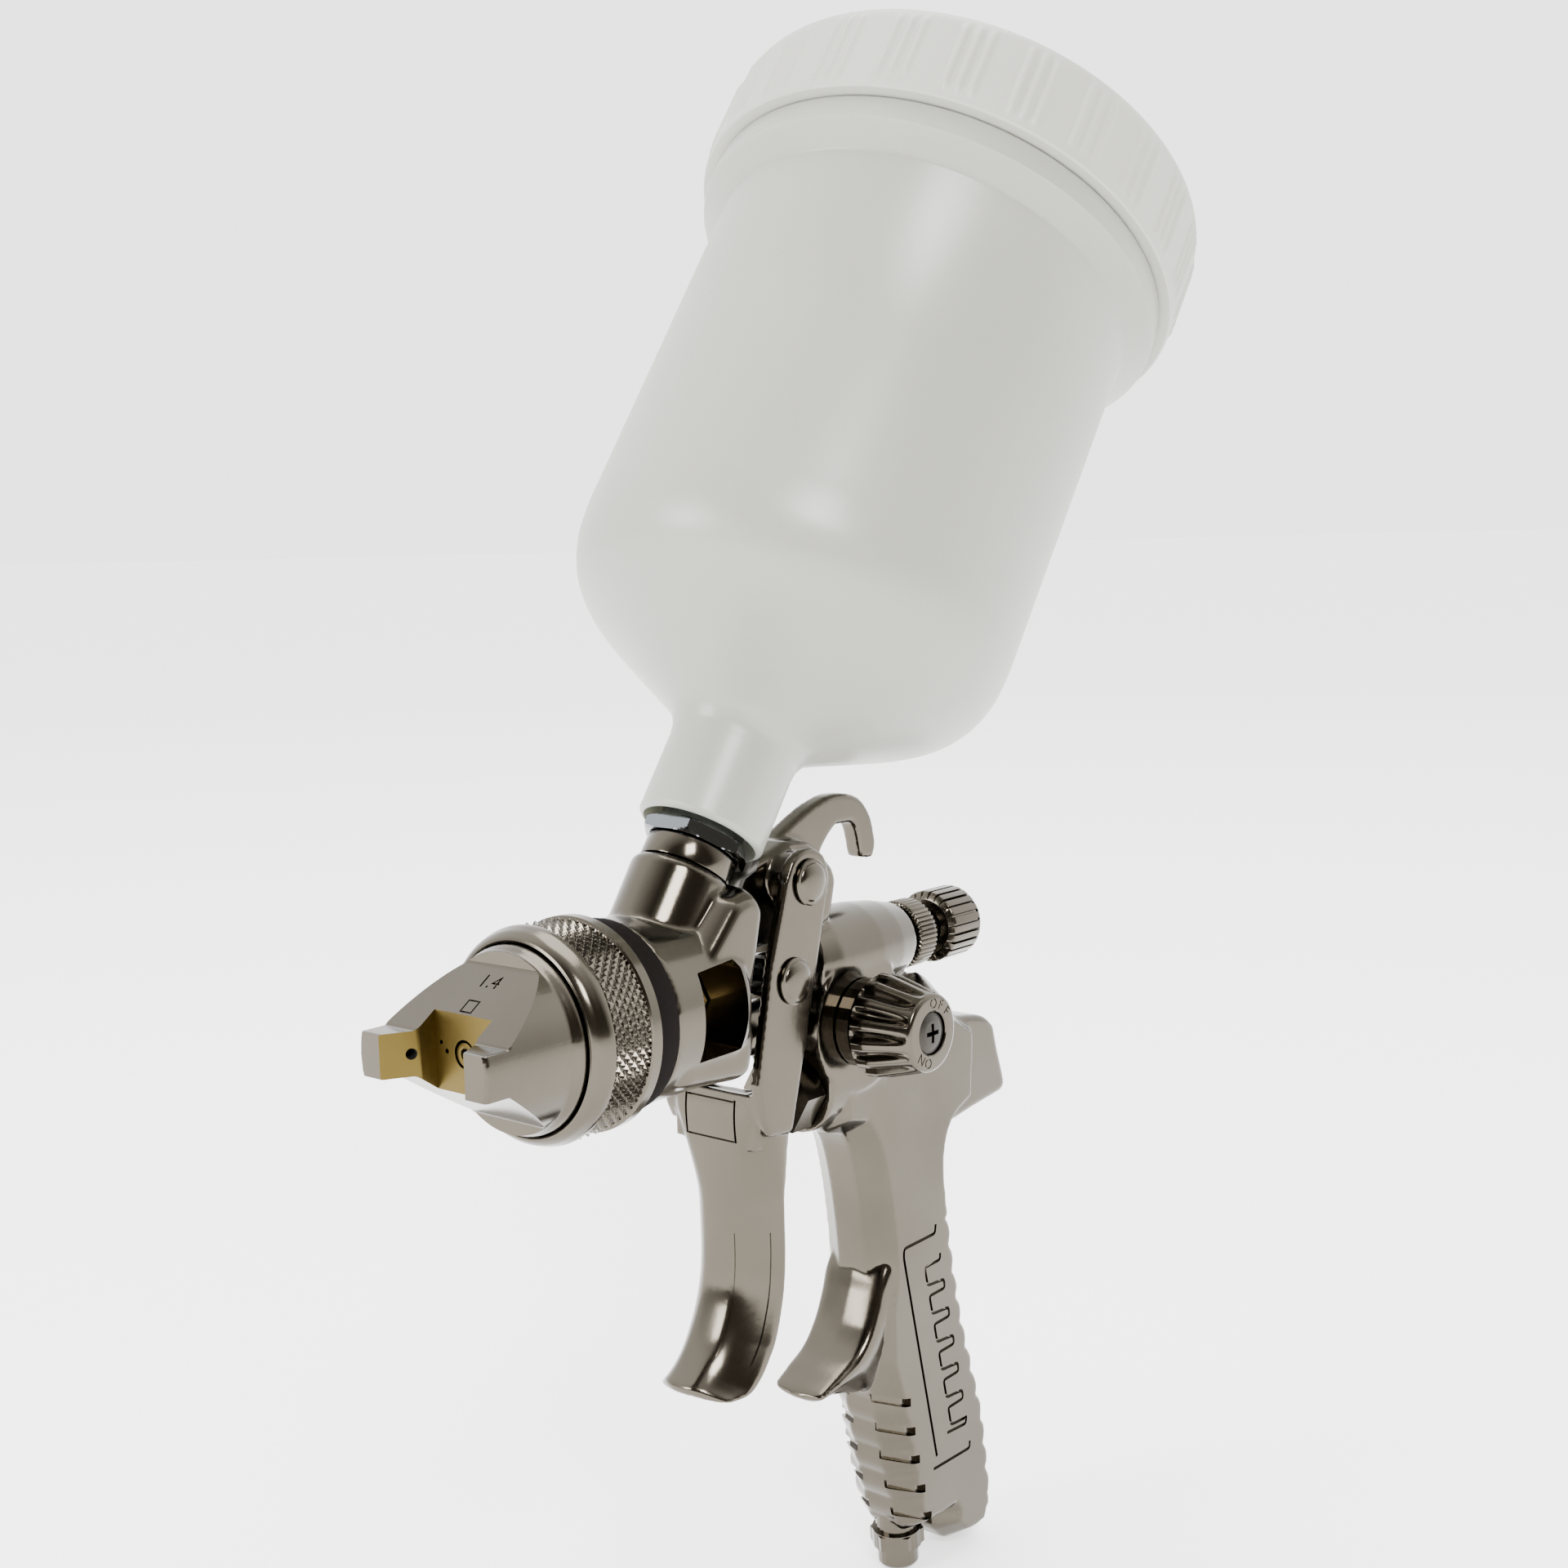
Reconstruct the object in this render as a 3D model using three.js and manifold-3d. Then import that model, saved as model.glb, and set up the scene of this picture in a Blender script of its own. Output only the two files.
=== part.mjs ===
// Gravity-feed spray gun: plated casting, two-horned air cap, pull trigger, handle and tilted cup.
// The needle axis is the X axis of the gun. The nozzle points to -X, the cup is above, and the
// fan knob is on the -Y side. The whole gun is then shifted so that its hook seat is the origin.
import * as THREE from 'three';
import { mergeVertices } from 'three/addons/utils/BufferGeometryUtils.js';
import Module from 'manifold-3d';

const wasm = await Module();
wasm.setup();

// Driving dimensions, in millimetres and degrees. Places are [x, z] on the gun's middle plane.
const GAP = 0.3;                 // clearance between neighbouring pieces
const HOOK_SEAT = [36.8, 27.3];  // flat inside the hook
const CUP_AXIS_X = -26.7;        // where the cup axis meets the needle axis
const CUP_TILT = 35;             // the cup leans back from vertical
const CUP_RADIUS = 45.6;
const CUP_WALL = 1.8;
const NECK_RADIUS = 12.7;
const LID_RADIUS = 53.6;
const ADAPTER_FLATS = 19;        // steel hexagon under the cup
const RING_RADIUS = 20;
const HEAD_RADIUS = 17.8;
const CAP_RADIUS = 17.2;
const HORN_TIP = -76.3;
const NOZZLE_TIP = -66.6;
const NEEDLE_RADIUS = 1.5;
const REAR_BOSS = 54.6;          // x of the rear boss rim
const PIVOT = [12, 19.7];        // trigger pivot
const YOKE = [6.6, 0.9];         // needle yoke in the trigger
const FAN = [31.7, -12.7];       // fan valve axis
const VALVE_Z = -26;             // height of the air valve axis
const SIDE_HALF = 9.4;           // half thickness of the casting and handle
const HOOK_HALF = 2.2;
const EAR_INNER = 10.8;          // inner faces of the trigger ears
const EAR_OUTER = 13;
const INLET = [53.9, -134.4];      // centre of the flat underneath the handle
const INLET_LEAN = 4;            // degrees that the air inlet leans back
const ROUND = 24;                // facets of a middle-sized round piece

const radians = THREE.MathUtils.degToRad;

// ---------------------------------------------------------------- geometry helpers

function solid(geometry) {
  const bare = geometry.clone();
  bare.deleteAttribute('normal');
  bare.deleteAttribute('uv');
  const merged = mergeVertices(bare, 1e-4);
  const vertProperties = new Float32Array(merged.attributes.position.array);
  const triVerts = new Uint32Array(merged.index.array);
  return new wasm.Manifold(new wasm.Mesh({ numProp: 3, vertProperties, triVerts }));
}

function geometryOf(manifold) {
  const mesh = manifold.getMesh();
  const geometry = new THREE.BufferGeometry();
  geometry.setAttribute('position', new THREE.Float32BufferAttribute(mesh.vertProperties, 3));
  geometry.setIndex(new THREE.Uint32BufferAttribute(mesh.triVerts, 1));
  return geometry;
}

// Adds the geometries in the first list together, then cuts away those in the second.
function carved(added, removed) {
  let whole = solid(added[0]);
  for (const geometry of added.slice(1)) whole = whole.add(solid(geometry));
  for (const geometry of removed) whole = whole.subtract(solid(geometry));
  return geometryOf(whole);
}

// A piece turned about local Y from a closed profile of [radius, height] points.
function turned(profile, facets = ROUND) {
  const points = profile.map(([r, h]) => new THREE.Vector2(r, h));
  if (THREE.ShapeUtils.isClockWise(points)) points.reverse();
  const onAxis = points[0].x === 0 && points.at(-1).x === 0;
  const start = points.findIndex((p, i) => p.x === 0 && points.at(i - 1).x === 0);
  const ordered = start > 0 ? [...points.slice(start), ...points.slice(0, start)] : points;
  if (!onAxis && start < 0) ordered.push(ordered[0].clone());
  return new THREE.LatheGeometry(ordered, facets);
}

function rod(radius, from, to, facets = ROUND) {
  return turned([[0, from], [radius, from], [radius, to], [0, to]], facets);
}

function tube(inner, outer, from, to, facets = ROUND) {
  return turned([[inner, from], [outer, from], [outer, to], [inner, to]], facets);
}

// A ring of teeth or flats: radius(angle) sampled evenly, extruded along local Y.
function prism(radiusAt, samples, from, to, bore = 0) {
  const corners = [];
  for (let i = 0; i < samples; i += 1) {
    const angle = 2 * Math.PI * i / samples;
    const radius = radiusAt(angle, i);
    corners.push(new THREE.Vector2(radius * Math.cos(angle), radius * Math.sin(angle)));
  }
  const shape = new THREE.Shape(corners);
  if (bore) shape.holes.push(new THREE.Path().absarc(0, 0, bore, 0, 2 * Math.PI, true));
  const options = { depth: to - from, bevelEnabled: false, curveSegments: 12 };
  const geometry = new THREE.ExtrudeGeometry(shape, options);
  geometry.translate(0, 0, from);
  geometry.rotateX(-Math.PI / 2);
  return geometry;
}

function hexagon(acrossFlats, from, to, bore = 0) {
  return prism(() => acrossFlats / Math.sqrt(3), 6, from, to, bore);
}

// A slab whose outline lies in the X-Z plane, from y = -half to y = half. The outline is that of
// its flat sides, and the bevel, bevelDepth deep, grows it by bevelWidth towards the middle.
function slab(outline, half, bevelDepth = 0, bevelWidth = 0, steps = 1) {
  const options = {
    depth: 2 * (half - bevelDepth),
    bevelEnabled: bevelDepth > 0,
    bevelThickness: bevelDepth,
    bevelSize: bevelWidth,
    bevelSegments: steps,
    curveSegments: 3,
  };
  const geometry = new THREE.ExtrudeGeometry(outline, options);
  geometry.translate(0, 0, bevelDepth - half);
  geometry.rotateX(Math.PI / 2);
  return geometry;
}

// An outline through [x, z] points: a straight run for a plain point list, and a smooth
// curve through each nested list.
function outline(...runs) {
  const shape = new THREE.Shape();
  let started = false;
  for (const run of runs) {
    const smooth = Array.isArray(run[0]);
    const points = (smooth ? run : [run]).map(([x, z]) => new THREE.Vector2(x, z));
    if (!started) {
      shape.moveTo(points[0].x, points[0].y);
      started = true;
    } else {
      shape.lineTo(points[0].x, points[0].y);
    }
    if (smooth) shape.splineThru(points.slice(1));
  }
  return shape;
}

function box(x0, x1, y0, y1, z0, z1) {
  const geometry = new THREE.BoxGeometry(x1 - x0, y1 - y0, z1 - z0);
  geometry.translate((x0 + x1) / 2, (y0 + y1) / 2, (z0 + z1) / 2);
  return geometry;
}

// Turned along the needle direction: heights become x.
function alongX(geometry, z = 0) {
  geometry.rotateZ(-Math.PI / 2);
  geometry.translate(0, 0, z);
  return geometry;
}

// Turned across the gun: heights become -y.
function alongY(geometry, [x, z]) {
  geometry.rotateX(Math.PI);
  geometry.translate(x, 0, z);
  return geometry;
}

// Turned on the cup axis: heights become distances from the needle axis.
function alongCup(geometry) {
  geometry.rotateX(Math.PI / 2);
  geometry.rotateY(radians(CUP_TILT));
  geometry.translate(CUP_AXIS_X, 0, 0);
  return geometry;
}

// A round bore from one [x, z] point to another.
function bore(radius, [x0, z0], [x1, z1], facets = 12) {
  const length = Math.hypot(x1 - x0, z1 - z0);
  const geometry = rod(radius, 0, length, facets);
  geometry.rotateZ(-Math.PI / 2);
  geometry.rotateY(-Math.atan2(z1 - z0, x1 - x0));
  geometry.translate(x0, 0, z0);
  return geometry;
}

// ---------------------------------------------------------------- materials and placing

const finish = (color, roughness, metalness) => ({ color, roughness, metalness });
const SATIN_NICKEL = finish(0x9b9083, 0.3, 1);
const BRIGHT_STEEL = finish(0xb9c0c6, 0.15, 1);
const BRASS = finish(0xa8893f, 0.35, 1);
const BLACK_RUBBER = finish(0x171514, 0.8, 0);
const CUP_PLASTIC = finish(0xd8dbd2, 0.45, 0);
const WHITE_PLASTIC = finish(0xe4e4dc, 0.5, 0);
const SPRING_STEEL = finish(0x8c8d8f, 0.3, 1);

const gun = new THREE.Group();
gun.position.set(-HOOK_SEAT[0], 0, -HOOK_SEAT[1]);

const onNeedle = new THREE.Group();
onNeedle.rotation.z = -Math.PI / 2;

const onCup = new THREE.Group();
onCup.rotation.order = 'YXZ';
onCup.rotation.x = Math.PI / 2;
onCup.rotation.y = radians(CUP_TILT);
onCup.position.x = CUP_AXIS_X;

const onFan = new THREE.Group();
onFan.rotation.x = Math.PI;
onFan.position.set(FAN[0], 0, FAN[1]);

const onValve = new THREE.Group();
onValve.rotation.z = -Math.PI / 2;
onValve.position.z = VALVE_Z;

gun.add(onNeedle, onCup, onFan, onValve);

function place(group, name, geometry, looks) {
  const mesh = new THREE.Mesh(geometry, new THREE.MeshStandardMaterial(looks));
  mesh.name = name;
  group.add(mesh);
  return mesh;
}

// ---------------------------------------------------------------- casting

function castingSolids() {
  const headBarrel = alongX(turned([
    [0, -46.2], [15.4, -46.2], [15.4, -31.6], [HEAD_RADIUS, -31.6], [HEAD_RADIUS, -14],
    [HEAD_RADIUS - 2.5, -9.5], [12, -7.5], [0, -7.5],
  ], 36));
  const headCheeks = slab(outline(
    [-26, -11], [-11, -12], [-9.2, -7], [-10.8, -2], [-6, 18.5], [-12, 18], [-26, 4],
  ), 15.2, 4, 3, 1);
  const cupBoss = alongCup(turned([[0, 0], [9.9, 0], [10.2, 27.4], [9.4, 28.6], [0, 28.6]], 28));
  const upperBridge = slab(outline(
    [-13, 8.2], [20, 8.2], [26, 10.2], [27.8, 17], [[27, 19], [21, 24.3], [14, 25.8]], [-3, 20.8],
    [-13, 13],
  ), 6.6, 1.6, 1.2);
  const pivotBoss = alongY(rod(5.6, -EAR_INNER + GAP, EAR_INNER - GAP, 24), PIVOT);
  const lowerBridge = alongX(rod(5.4, -12, 24, 20), -10.6);
  const rearBarrel = alongX(turned([
    [0, 20], [9.4, 20], [10.4, 26], [10.1, 40], [9.2, 48], [7.8, REAR_BOSS], [0, REAR_BOSS],
  ], 28));
  const fanBoss = alongY(rod(14.5, -SIDE_HALF - 0.6, SIDE_HALF + 0.6, 28), FAN);
  const valveBoss = alongX(rod(9.6, 21.5, 40, 24), VALVE_Z);
  const handle = slab(outline(
    [24.5, -3], [23.5, -14], [27.5, -18], [28, -33],
    [[34.6, -34.5], [38.4, -41], [41.2, -51.5], [43.2, -64.9], [43.4, -72.2], [42, -79]],
    [42, -90], [[44.6, -98], [46.6, -108], [48.3, -116], [50.4, -123.5], [52.6, -130.4]],
    [64.8, -130.4], [65.6, -136], [[68.2, -138.6], [72, -139.2], [75.4, -138.8]], [78.2, -134],
    [[75.4, -115], [72, -103], [68, -90], [65, -77], [62.2, -61], [61.2, -51]],
    [[62.6, -44.5], [66, -40.4], [72, -37.8]], [73, -24], [[65.8, -19.5], [62, -14], [57, -11], [50, -10]],
    [30, -6],
  ), SIDE_HALF, 5.6, 3.6, 1);
  const tail = slab(outline(
    [60, -19.2], [[69.8, -20.8], [79.4, -22.6], [83.4, -25.2]],
    [[84.8, -30.4], [87.4, -38.4], [86.6, -39.6]], [75.6, -40.8], [60, -43],
  ), 7.6, 1.5, 1.2);
  const fingerHook = slab(outline(
    [45, -66], [[39.6, -70.6], [38.2, -76], [35.2, -82], [31, -86], [25, -88.6], [19.4, -90.8]],
    [[19.8, -91.6], [23.6, -92.6], [31, -94.2], [37, -95.4], [45, -100]], [54, -90],
  ), 5.4, 2.6, 1.4);
  const hook = slab(outline(
    [[7, 23.4], [13, 25.4], [22.4, 29.7], [28.4, 32], [35, 33.2], [42, 31.8], [46, 27.6], [47.6, 22]],
    [46.9, 19.4], [43.6, 19.8], [[42.9, 23], [42, 25.8], [40.6, 27.7]], [39.6, HOOK_SEAT[1] + 0.6],
    [34.4, HOOK_SEAT[1] + 0.6], [[31.6, 25.8], [28.8, 22.4], [28, 18]], [20, 14],
  ), HOOK_HALF, 0.8, 0.6);
  return [
    headBarrel, headCheeks, cupBoss, upperBridge, pivotBoss, lowerBridge, rearBarrel, fanBoss,
    valveBoss, handle, tail, fingerHook, hook,
  ];
}

// Passages and sockets. Every hollow opens to the outside before the other pieces are fitted.
function castingHollows() {
  const nozzleSocket = alongX(rod(7.5, -47, -27, 20));
  const airRing = alongX(tube(9.6, 13.4, -47, -36, 20));
  const gland = alongX(rod(5.4, -28, -24, 16));
  const window = box(-24.3, -12.4, -20, 20, -8.4, 8.4);
  const needleHole = alongX(rod(2.4, -14, 26, 12));
  const slot = slab(outline([-8.4, 6.9], [21.6, 6.9], [19.2, -4.9], [-8.4, -4.9]), 12);
  const rearBore = alongX(rod(5.6, 23, REAR_BOSS + 1, 20));
  const spotFace = alongX(rod(9, REAR_BOSS, 70, 20));
  const fanBore = alongY(rod(5.2, -6.6, 12, 16), FAN);
  const valveBore = alongX(rod(6.4, 20, 44, 20), VALVE_Z);
  const riser = bore(3.2, [34, VALVE_Z], [34, FAN[1]]);
  const airway = bore(2.8, [-40, -10.6], [30, -10.6]);
  const handleBore = bore(4.6, [41, VALVE_Z], [INLET[0] + 0.4, INLET[1] - 8], 12);
  const inletSocket = bore(5.1, [INLET[0] - 0.75, INLET[1] + 12], [INLET[0] + 0.4, INLET[1] - 6], 16);
  const fluidWay = alongCup(rod(4.2, 0, 40, 12));
  const sleeveSocket = alongCup(rod(7.6, 20, 40, 20));
  const cupRoom = alongCup(turned([
    [0, 28.6], [11.8, 28.6], [11.8, 33], [13.6, 36], [13.6, 70], [0, 70],
  ], 24));
  const nutRoom = alongX(rod(9.3, 8, 21.5, 20), VALVE_Z);
  const pivotHole = alongY(rod(2.9, -12, 12, 20), PIVOT);
  return [
    nozzleSocket, airRing, gland, window, needleHole, slot, rearBore, spotFace, fanBore, valveBore,
    riser, airway, handleBore, inletSocket, fluidWay, sleeveSocket, cupRoom, nutRoom,
    pivotHole,
  ];
}

place(gun, 'gun_body', carved(castingSolids(), castingHollows()), SATIN_NICKEL);

// ---------------------------------------------------------------- air and fluid head

place(onNeedle, 'fluid_nozzle', turned([
  [1.9, -27.4], [7.2, -27.4], [7.2, -46], [5.6, -47], [5.6, -56], [3, -61], [2.1, -64], [2.1, NOZZLE_TIP],
  [1.1, NOZZLE_TIP], [1.1, -65.4], [1.9, -63],
]), BRASS);

place(onNeedle, 'air_baffle', turned([
  [6.1, -47.6], [14.3, -46.6], [14.3, -48.6], [10, -51.4], [6.1, -51.4],
]), BRASS);

place(onNeedle, 'head_seal', turned([
  [15.8, -31.9], [18.2, -31.9], [19.3, -37.8], [15.8, -37.8],
], 36), BLACK_RUBBER);

place(onNeedle, 'retaining_ring', turned([
  [15.8, -38.1], [RING_RADIUS, -38.1], [RING_RADIUS, -50.2], [19, -52.6], [17.8, -53.6],
  [17.5, -50.9], [18.5, -50.6], [18.5, -46.5], [15.8, -46.5],
], 40), SATIN_NICKEL);

function airCapGeometry() {
  const dome = alongX(turned([
    [0, -70.6], [6.2, -70.6], [10.4, -66], [14.6, -59.4], [16.2, -55.6], [CAP_RADIUS, -55],
    [CAP_RADIUS, -50.5], [18.2, -50.3], [18.2, -48.6], [0, -48.6],
  ], 32));
  const hornRound = solid(alongX(rod(16.4, HORN_TIP, -52, 32)));
  const hornBlade = solid(box(HORN_TIP, -52, -20, 20, -4, 4));
  const hornWings = solid(slab(outline(
    [-72.5, 3.4], [-57.2, 13.6], [-55, 13.6], [-55, -13.6], [-57.2, -13.6], [-72.5, -3.4],
  ), 20));
  const horns = geometryOf(hornBlade.add(hornWings).intersect(hornRound));
  const throat = new THREE.ExtrudeGeometry(new THREE.Shape([
    new THREE.Vector2(HORN_TIP - 1, 11.4), new THREE.Vector2(-70, 7.4),
    new THREE.Vector2(NOZZLE_TIP, 7.4), new THREE.Vector2(NOZZLE_TIP, -7.4),
    new THREE.Vector2(-70, -7.4), new THREE.Vector2(HORN_TIP - 1, -11.4),
  ]), { depth: 40, bevelEnabled: false });
  throat.translate(0, 0, -20);
  const throatZone = geometryOf(solid(throat).intersect(solid(box(-80, -60, -20, 20, -9, 9))));
  const hollow = alongX(turned([[0, -64.8], [5, -64.8], [14.8, -53], [14.8, -48], [0, -48]], 20));
  const nozzleHole = alongX(rod(2.6, -72, -60, 20));
  return carved([dome, horns], [throatZone, hollow, nozzleHole]);
}

place(gun, 'air_cap', airCapGeometry(), SATIN_NICKEL);

place(onNeedle, 'packing_seal', tube(1.8, 5.1, -27, -24.4, 20), WHITE_PLASTIC);
place(onNeedle, 'packing_nut', hexagon(13, -24, -12.8, 2.4), BRASS);

// ---------------------------------------------------------------- needle line

place(onNeedle, 'fluid_needle', turned([
  [0, -66.9], [0.75, -65.6], [1.1, -62], [NEEDLE_RADIUS, -58], [NEEDLE_RADIUS, 46.5], [0, 46.5],
], 16), BRIGHT_STEEL);
place(onNeedle, 'needle_collar', tube(NEEDLE_RADIUS + GAP, 4, 10.95, 15, 20), BRIGHT_STEEL);

// A coil spring as a closed tube along a helix, with its axis on local Y.
function spring(radius, wire, from, to, turns) {
  class Helix extends THREE.Curve {
    getPoint(t, target = new THREE.Vector3()) {
      const angle = 2 * Math.PI * turns * t;
      return target.set(radius * Math.cos(angle), from + (to - from) * t, radius * Math.sin(angle));
    }
  }
  const section = new THREE.Shape().absarc(0, 0, wire, 0, 2 * Math.PI);
  const options = { steps: turns * 8, extrudePath: new Helix(), curveSegments: 2 };
  return new THREE.ExtrudeGeometry(section, options);
}

const SPRING_SEAT = 27;           // front end of the needle spring
place(onNeedle, 'needle_spring', spring(3.6, 0.5, SPRING_SEAT + 1, 51.4, 6), SPRING_STEEL);
place(onNeedle, 'spring_cup', tube(NEEDLE_RADIUS + GAP, 5, 24.4, SPRING_SEAT, 20), BRASS);

place(onNeedle, 'rear_bushing', turned([
  [4.6, 53], [5.3, 53], [5.3, REAR_BOSS + GAP], [6.4, REAR_BOSS + GAP], [6.4, 56.4], [4.6, 56.4],
]), SATIN_NICKEL);
place(onNeedle, 'lock_nut', turned([
  [4.6, 56.8], [7.1, 56.8], [7.5, 57.3], [7.5, 62.6], [7.1, 63], [4.6, 63],
]), SATIN_NICKEL);
place(onNeedle, 'fluid_spindle', turned([
  [0, 52.2], [4.2, 52.2], [4.2, 67.8], [0, 67.8],
], 24), SATIN_NICKEL);
place(onNeedle, 'fluid_knob', turned([
  [0, 68.2], [6.6, 68.2], [8, 69.2], [8, 78.6], [6.8, 80.6], [0, 80.6],
], 28), SATIN_NICKEL);

// ---------------------------------------------------------------- fan control

place(onFan, 'fan_valve_housing', turned([
  [2.4, -3.6], [4.9, -3.6], [4.9, SIDE_HALF + 1], [9.2, SIDE_HALF + 1], [9.2, 13.4], [6, 14.4],
  [2.4, 14.4],
]), SATIN_NICKEL);
place(onFan, 'fan_spindle', turned([
  [0, -4.6], [1.6, -4.6], [2, -2], [2, 17.6], [0, 17.6],
], 16), BRASS);
const flute = (angle) => 10.8 - 0.5 * (1 - Math.cos(14 * angle));
function fanKnobGeometry() {
  const fluted = prism(flute, 56, 14.8, 28.2);
  const cone = turned([[0, 14.8], [10.9, 14.8], [10.9, 17.6], [8.2, 27], [7.2, 28], [0, 28]], 28);
  const knob = solid(fluted).intersect(solid(cone));
  const spindleHole = solid(rod(2.3, 14, 17.9, 16));
  const screwHole = solid(turned([[0, 18.6], [1.9, 18.6], [1.9, 25.8], [4.5, 26.4], [4.5, 29], [0, 29]], 20));
  return geometryOf(knob.subtract(spindleHole).subtract(screwHole));
}
place(onFan, 'fan_knob', fanKnobGeometry(), SATIN_NICKEL);
place(onFan, 'fan_knob_screw', turned([
  [0, 19], [1.6, 19], [1.6, 26.2], [4.2, 26.8], [4.2, 27.7], [2.4, 28.1], [0, 28.2],
], 20), BRIGHT_STEEL);

// ---------------------------------------------------------------- trigger

function triggerGeometry() {
  const earOutline = outline(
    [[18, 19.7], [16.4, 24], [12, 25.8], [8, 24.4], [5.6, 20.6]], [0.6, 5.3], [-1.5, -4.7], [-4.4, -18],
    [-2.6, -24], [1.5, -28.5], [5.2, -28.5], [9.2, -13.4], [13.9, 3.8],
  );
  const bothEars = solid(slab(earOutline, EAR_OUTER, 0.5, 0.5));
  const between = solid(box(-20, 30, -EAR_INNER, EAR_INNER, -20.2, 40));
  const spoonCore = slab(outline(
    [[2.4, -28], [3, -36], [3.4, -46], [3.4, -56], [2.6, -63], [0.4, -69.5], [-1.6, -72.6]],
    [6, -75], [14, -60], [14, -28],
  ), 10.4, 6, 7.2);
  const tip = slab(outline(
    [[-3, -66], [-5.2, -70.4], [-9.8, -74.8], [-15.8, -77.4]],
    [[-15.4, -78.2], [-11, -80.2], [-5.4, -80.4], [-0.4, -76], [3.2, -66]],
  ), 7.4, 3.4, 1.6);
  const spoonBack = solid(slab(outline(
    [-30, -15], [-30, -90], [-9, -90], [[-4.6, -82], [1, -73], [4.2, -64], [5.4, -52], [5.4, -32]], [5, -15],
  ), 20));
  const channel = solid(slab(outline(
    [3, -26], [[3, -36], [3.2, -46], [3.2, -56], [2.4, -63], [0.8, -68]], [14, -68], [14, -26],
  ), 6.2, 2.6, 3));
  const spoon = solid(spoonCore).add(solid(tip)).intersect(spoonBack).subtract(channel);
  let trigger = bothEars.subtract(between).add(spoon);
  trigger = trigger.subtract(solid(box(-3.4, 12, -8.2, 8.2, -33, -15)));
  trigger = trigger.subtract(solid(alongY(rod(2.9, -20, 20, 20), PIVOT)));
  return trigger.subtract(solid(alongY(rod(2.6, -20, 20, 20), YOKE)));
}
const trigger = triggerGeometry();
// The valve stem is pushed by a bar cast across the back of the yoke plate.
const pushBar = solid(box(-3.8, -1.4, -10, 10, -31.5, -21.5));
place(gun, 'trigger', geometryOf(trigger.add(pushBar)), SATIN_NICKEL);

const pinHead = (from) => [[4.65, from], [4.5, from + 0.5], [3.2, from + 1.1], [0, from + 1.5]];
const pivotPin = turned([
  [0, -EAR_OUTER - GAP - 1.5], [3.2, -EAR_OUTER - GAP - 1.1], [4.5, -EAR_OUTER - GAP - 0.5],
  [4.65, -EAR_OUTER - GAP], [2.5, -EAR_OUTER - GAP], [2.5, EAR_OUTER + GAP], ...pinHead(EAR_OUTER + GAP),
], 16);
place(gun, 'pivot_pin', alongY(pivotPin, PIVOT), SATIN_NICKEL);

const yokeBar = alongY(turned([
  [0, -EAR_INNER + GAP], [4, -EAR_INNER + GAP], [4, EAR_INNER - GAP], [0, EAR_INNER - GAP],
], 20), YOKE);
const rivetHoles = alongY(rod(1.8, -30, -4.8, 14), YOKE);
const otherRivetHole = alongY(rod(1.8, 4.8, 30, 14), YOKE);
const needleWindow = alongX(rod(2.6, 0, 14, 18), YOKE[1] - 0.5);
place(gun, 'needle_yoke', carved([yokeBar], [rivetHoles, otherRivetHole, needleWindow]), BRIGHT_STEEL);

for (const [side, turn] of [['left', 1], ['right', -1]]) {
  const rivet = turned([
    [0, 5.4], [1.4, 5.4], [1.4, EAR_INNER], [2.3, EAR_INNER], [2.3, EAR_OUTER + GAP],
    ...pinHead(EAR_OUTER + GAP),
  ], 16);
  if (turn < 0) rivet.rotateX(Math.PI);
  place(gun, `yoke_rivet_${side}`, alongY(rivet, YOKE), SATIN_NICKEL);
}

// ---------------------------------------------------------------- air valve and inlet

const valveNut = carved(
  [hexagon(15, 15.4, 21.2), rod(6.1, 21.2, 27, 24)],
  [rod(2.4, 14, 28, 16)],
);
place(onValve, 'air_valve_nut', valveNut, SATIN_NICKEL);
place(onValve, 'air_valve_stem', turned([
  [0, -1], [1.4, -1], [2, -0.4], [2, 28.4], [4.9, 28.4], [4.9, 30.6], [1.4, 30.8], [1.4, 34], [0, 34],
], 20), BRIGHT_STEEL);
place(onValve, 'air_valve_seat', tube(2.6, 6.1, 27.2, 28.1, 24), BLACK_RUBBER);
place(onValve, 'air_valve_spring', spring(3.4, 0.45, 31.6, 43.2, 5), SPRING_STEEL);

function inletGeometry() {
  const bodyOfRevolution = turned([
    [2.6, -10], [4.7, -10], [4.7, GAP], [5.6, GAP], [5.6, 4.2], [4.6, 4.2], [4.6, 8.1], [4.1, 8.7],
    [2.6, 8.7],
  ], 24);
  const wrench = hexagon(10.6, 0.7, 3.9, 3);
  const fitting = solid(bodyOfRevolution).add(solid(wrench));
  return geometryOf(fitting);
}
const inlet = place(gun, 'air_inlet_fitting', inletGeometry(), SATIN_NICKEL);
inlet.rotation.set(-Math.PI / 2, 0, 0);
inlet.rotation.order = 'YXZ';
inlet.rotation.y = radians(-INLET_LEAN);
inlet.position.set(INLET[0], 0, INLET[1]);

// ---------------------------------------------------------------- cup

place(onCup, 'inlet_sleeve', turned([
  [4.2, 20.4], [7.3, 20.4], [7.3, 28.9], [9.1, 28.9], [9.1, 33.2], [6.4, 33.2], [6.4, 24], [4.2, 24],
], 28), SATIN_NICKEL);

const adapter = carved(
  [rod(6.1, 24.4, 33.6, 24), hexagon(ADAPTER_FLATS, 33.5, 36.6), rod(8.5, 36.6, 49, 24)],
  [rod(4.6, 20, 50, 20)],
);
place(onCup, 'cup_adapter', adapter, BRIGHT_STEEL);

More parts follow.
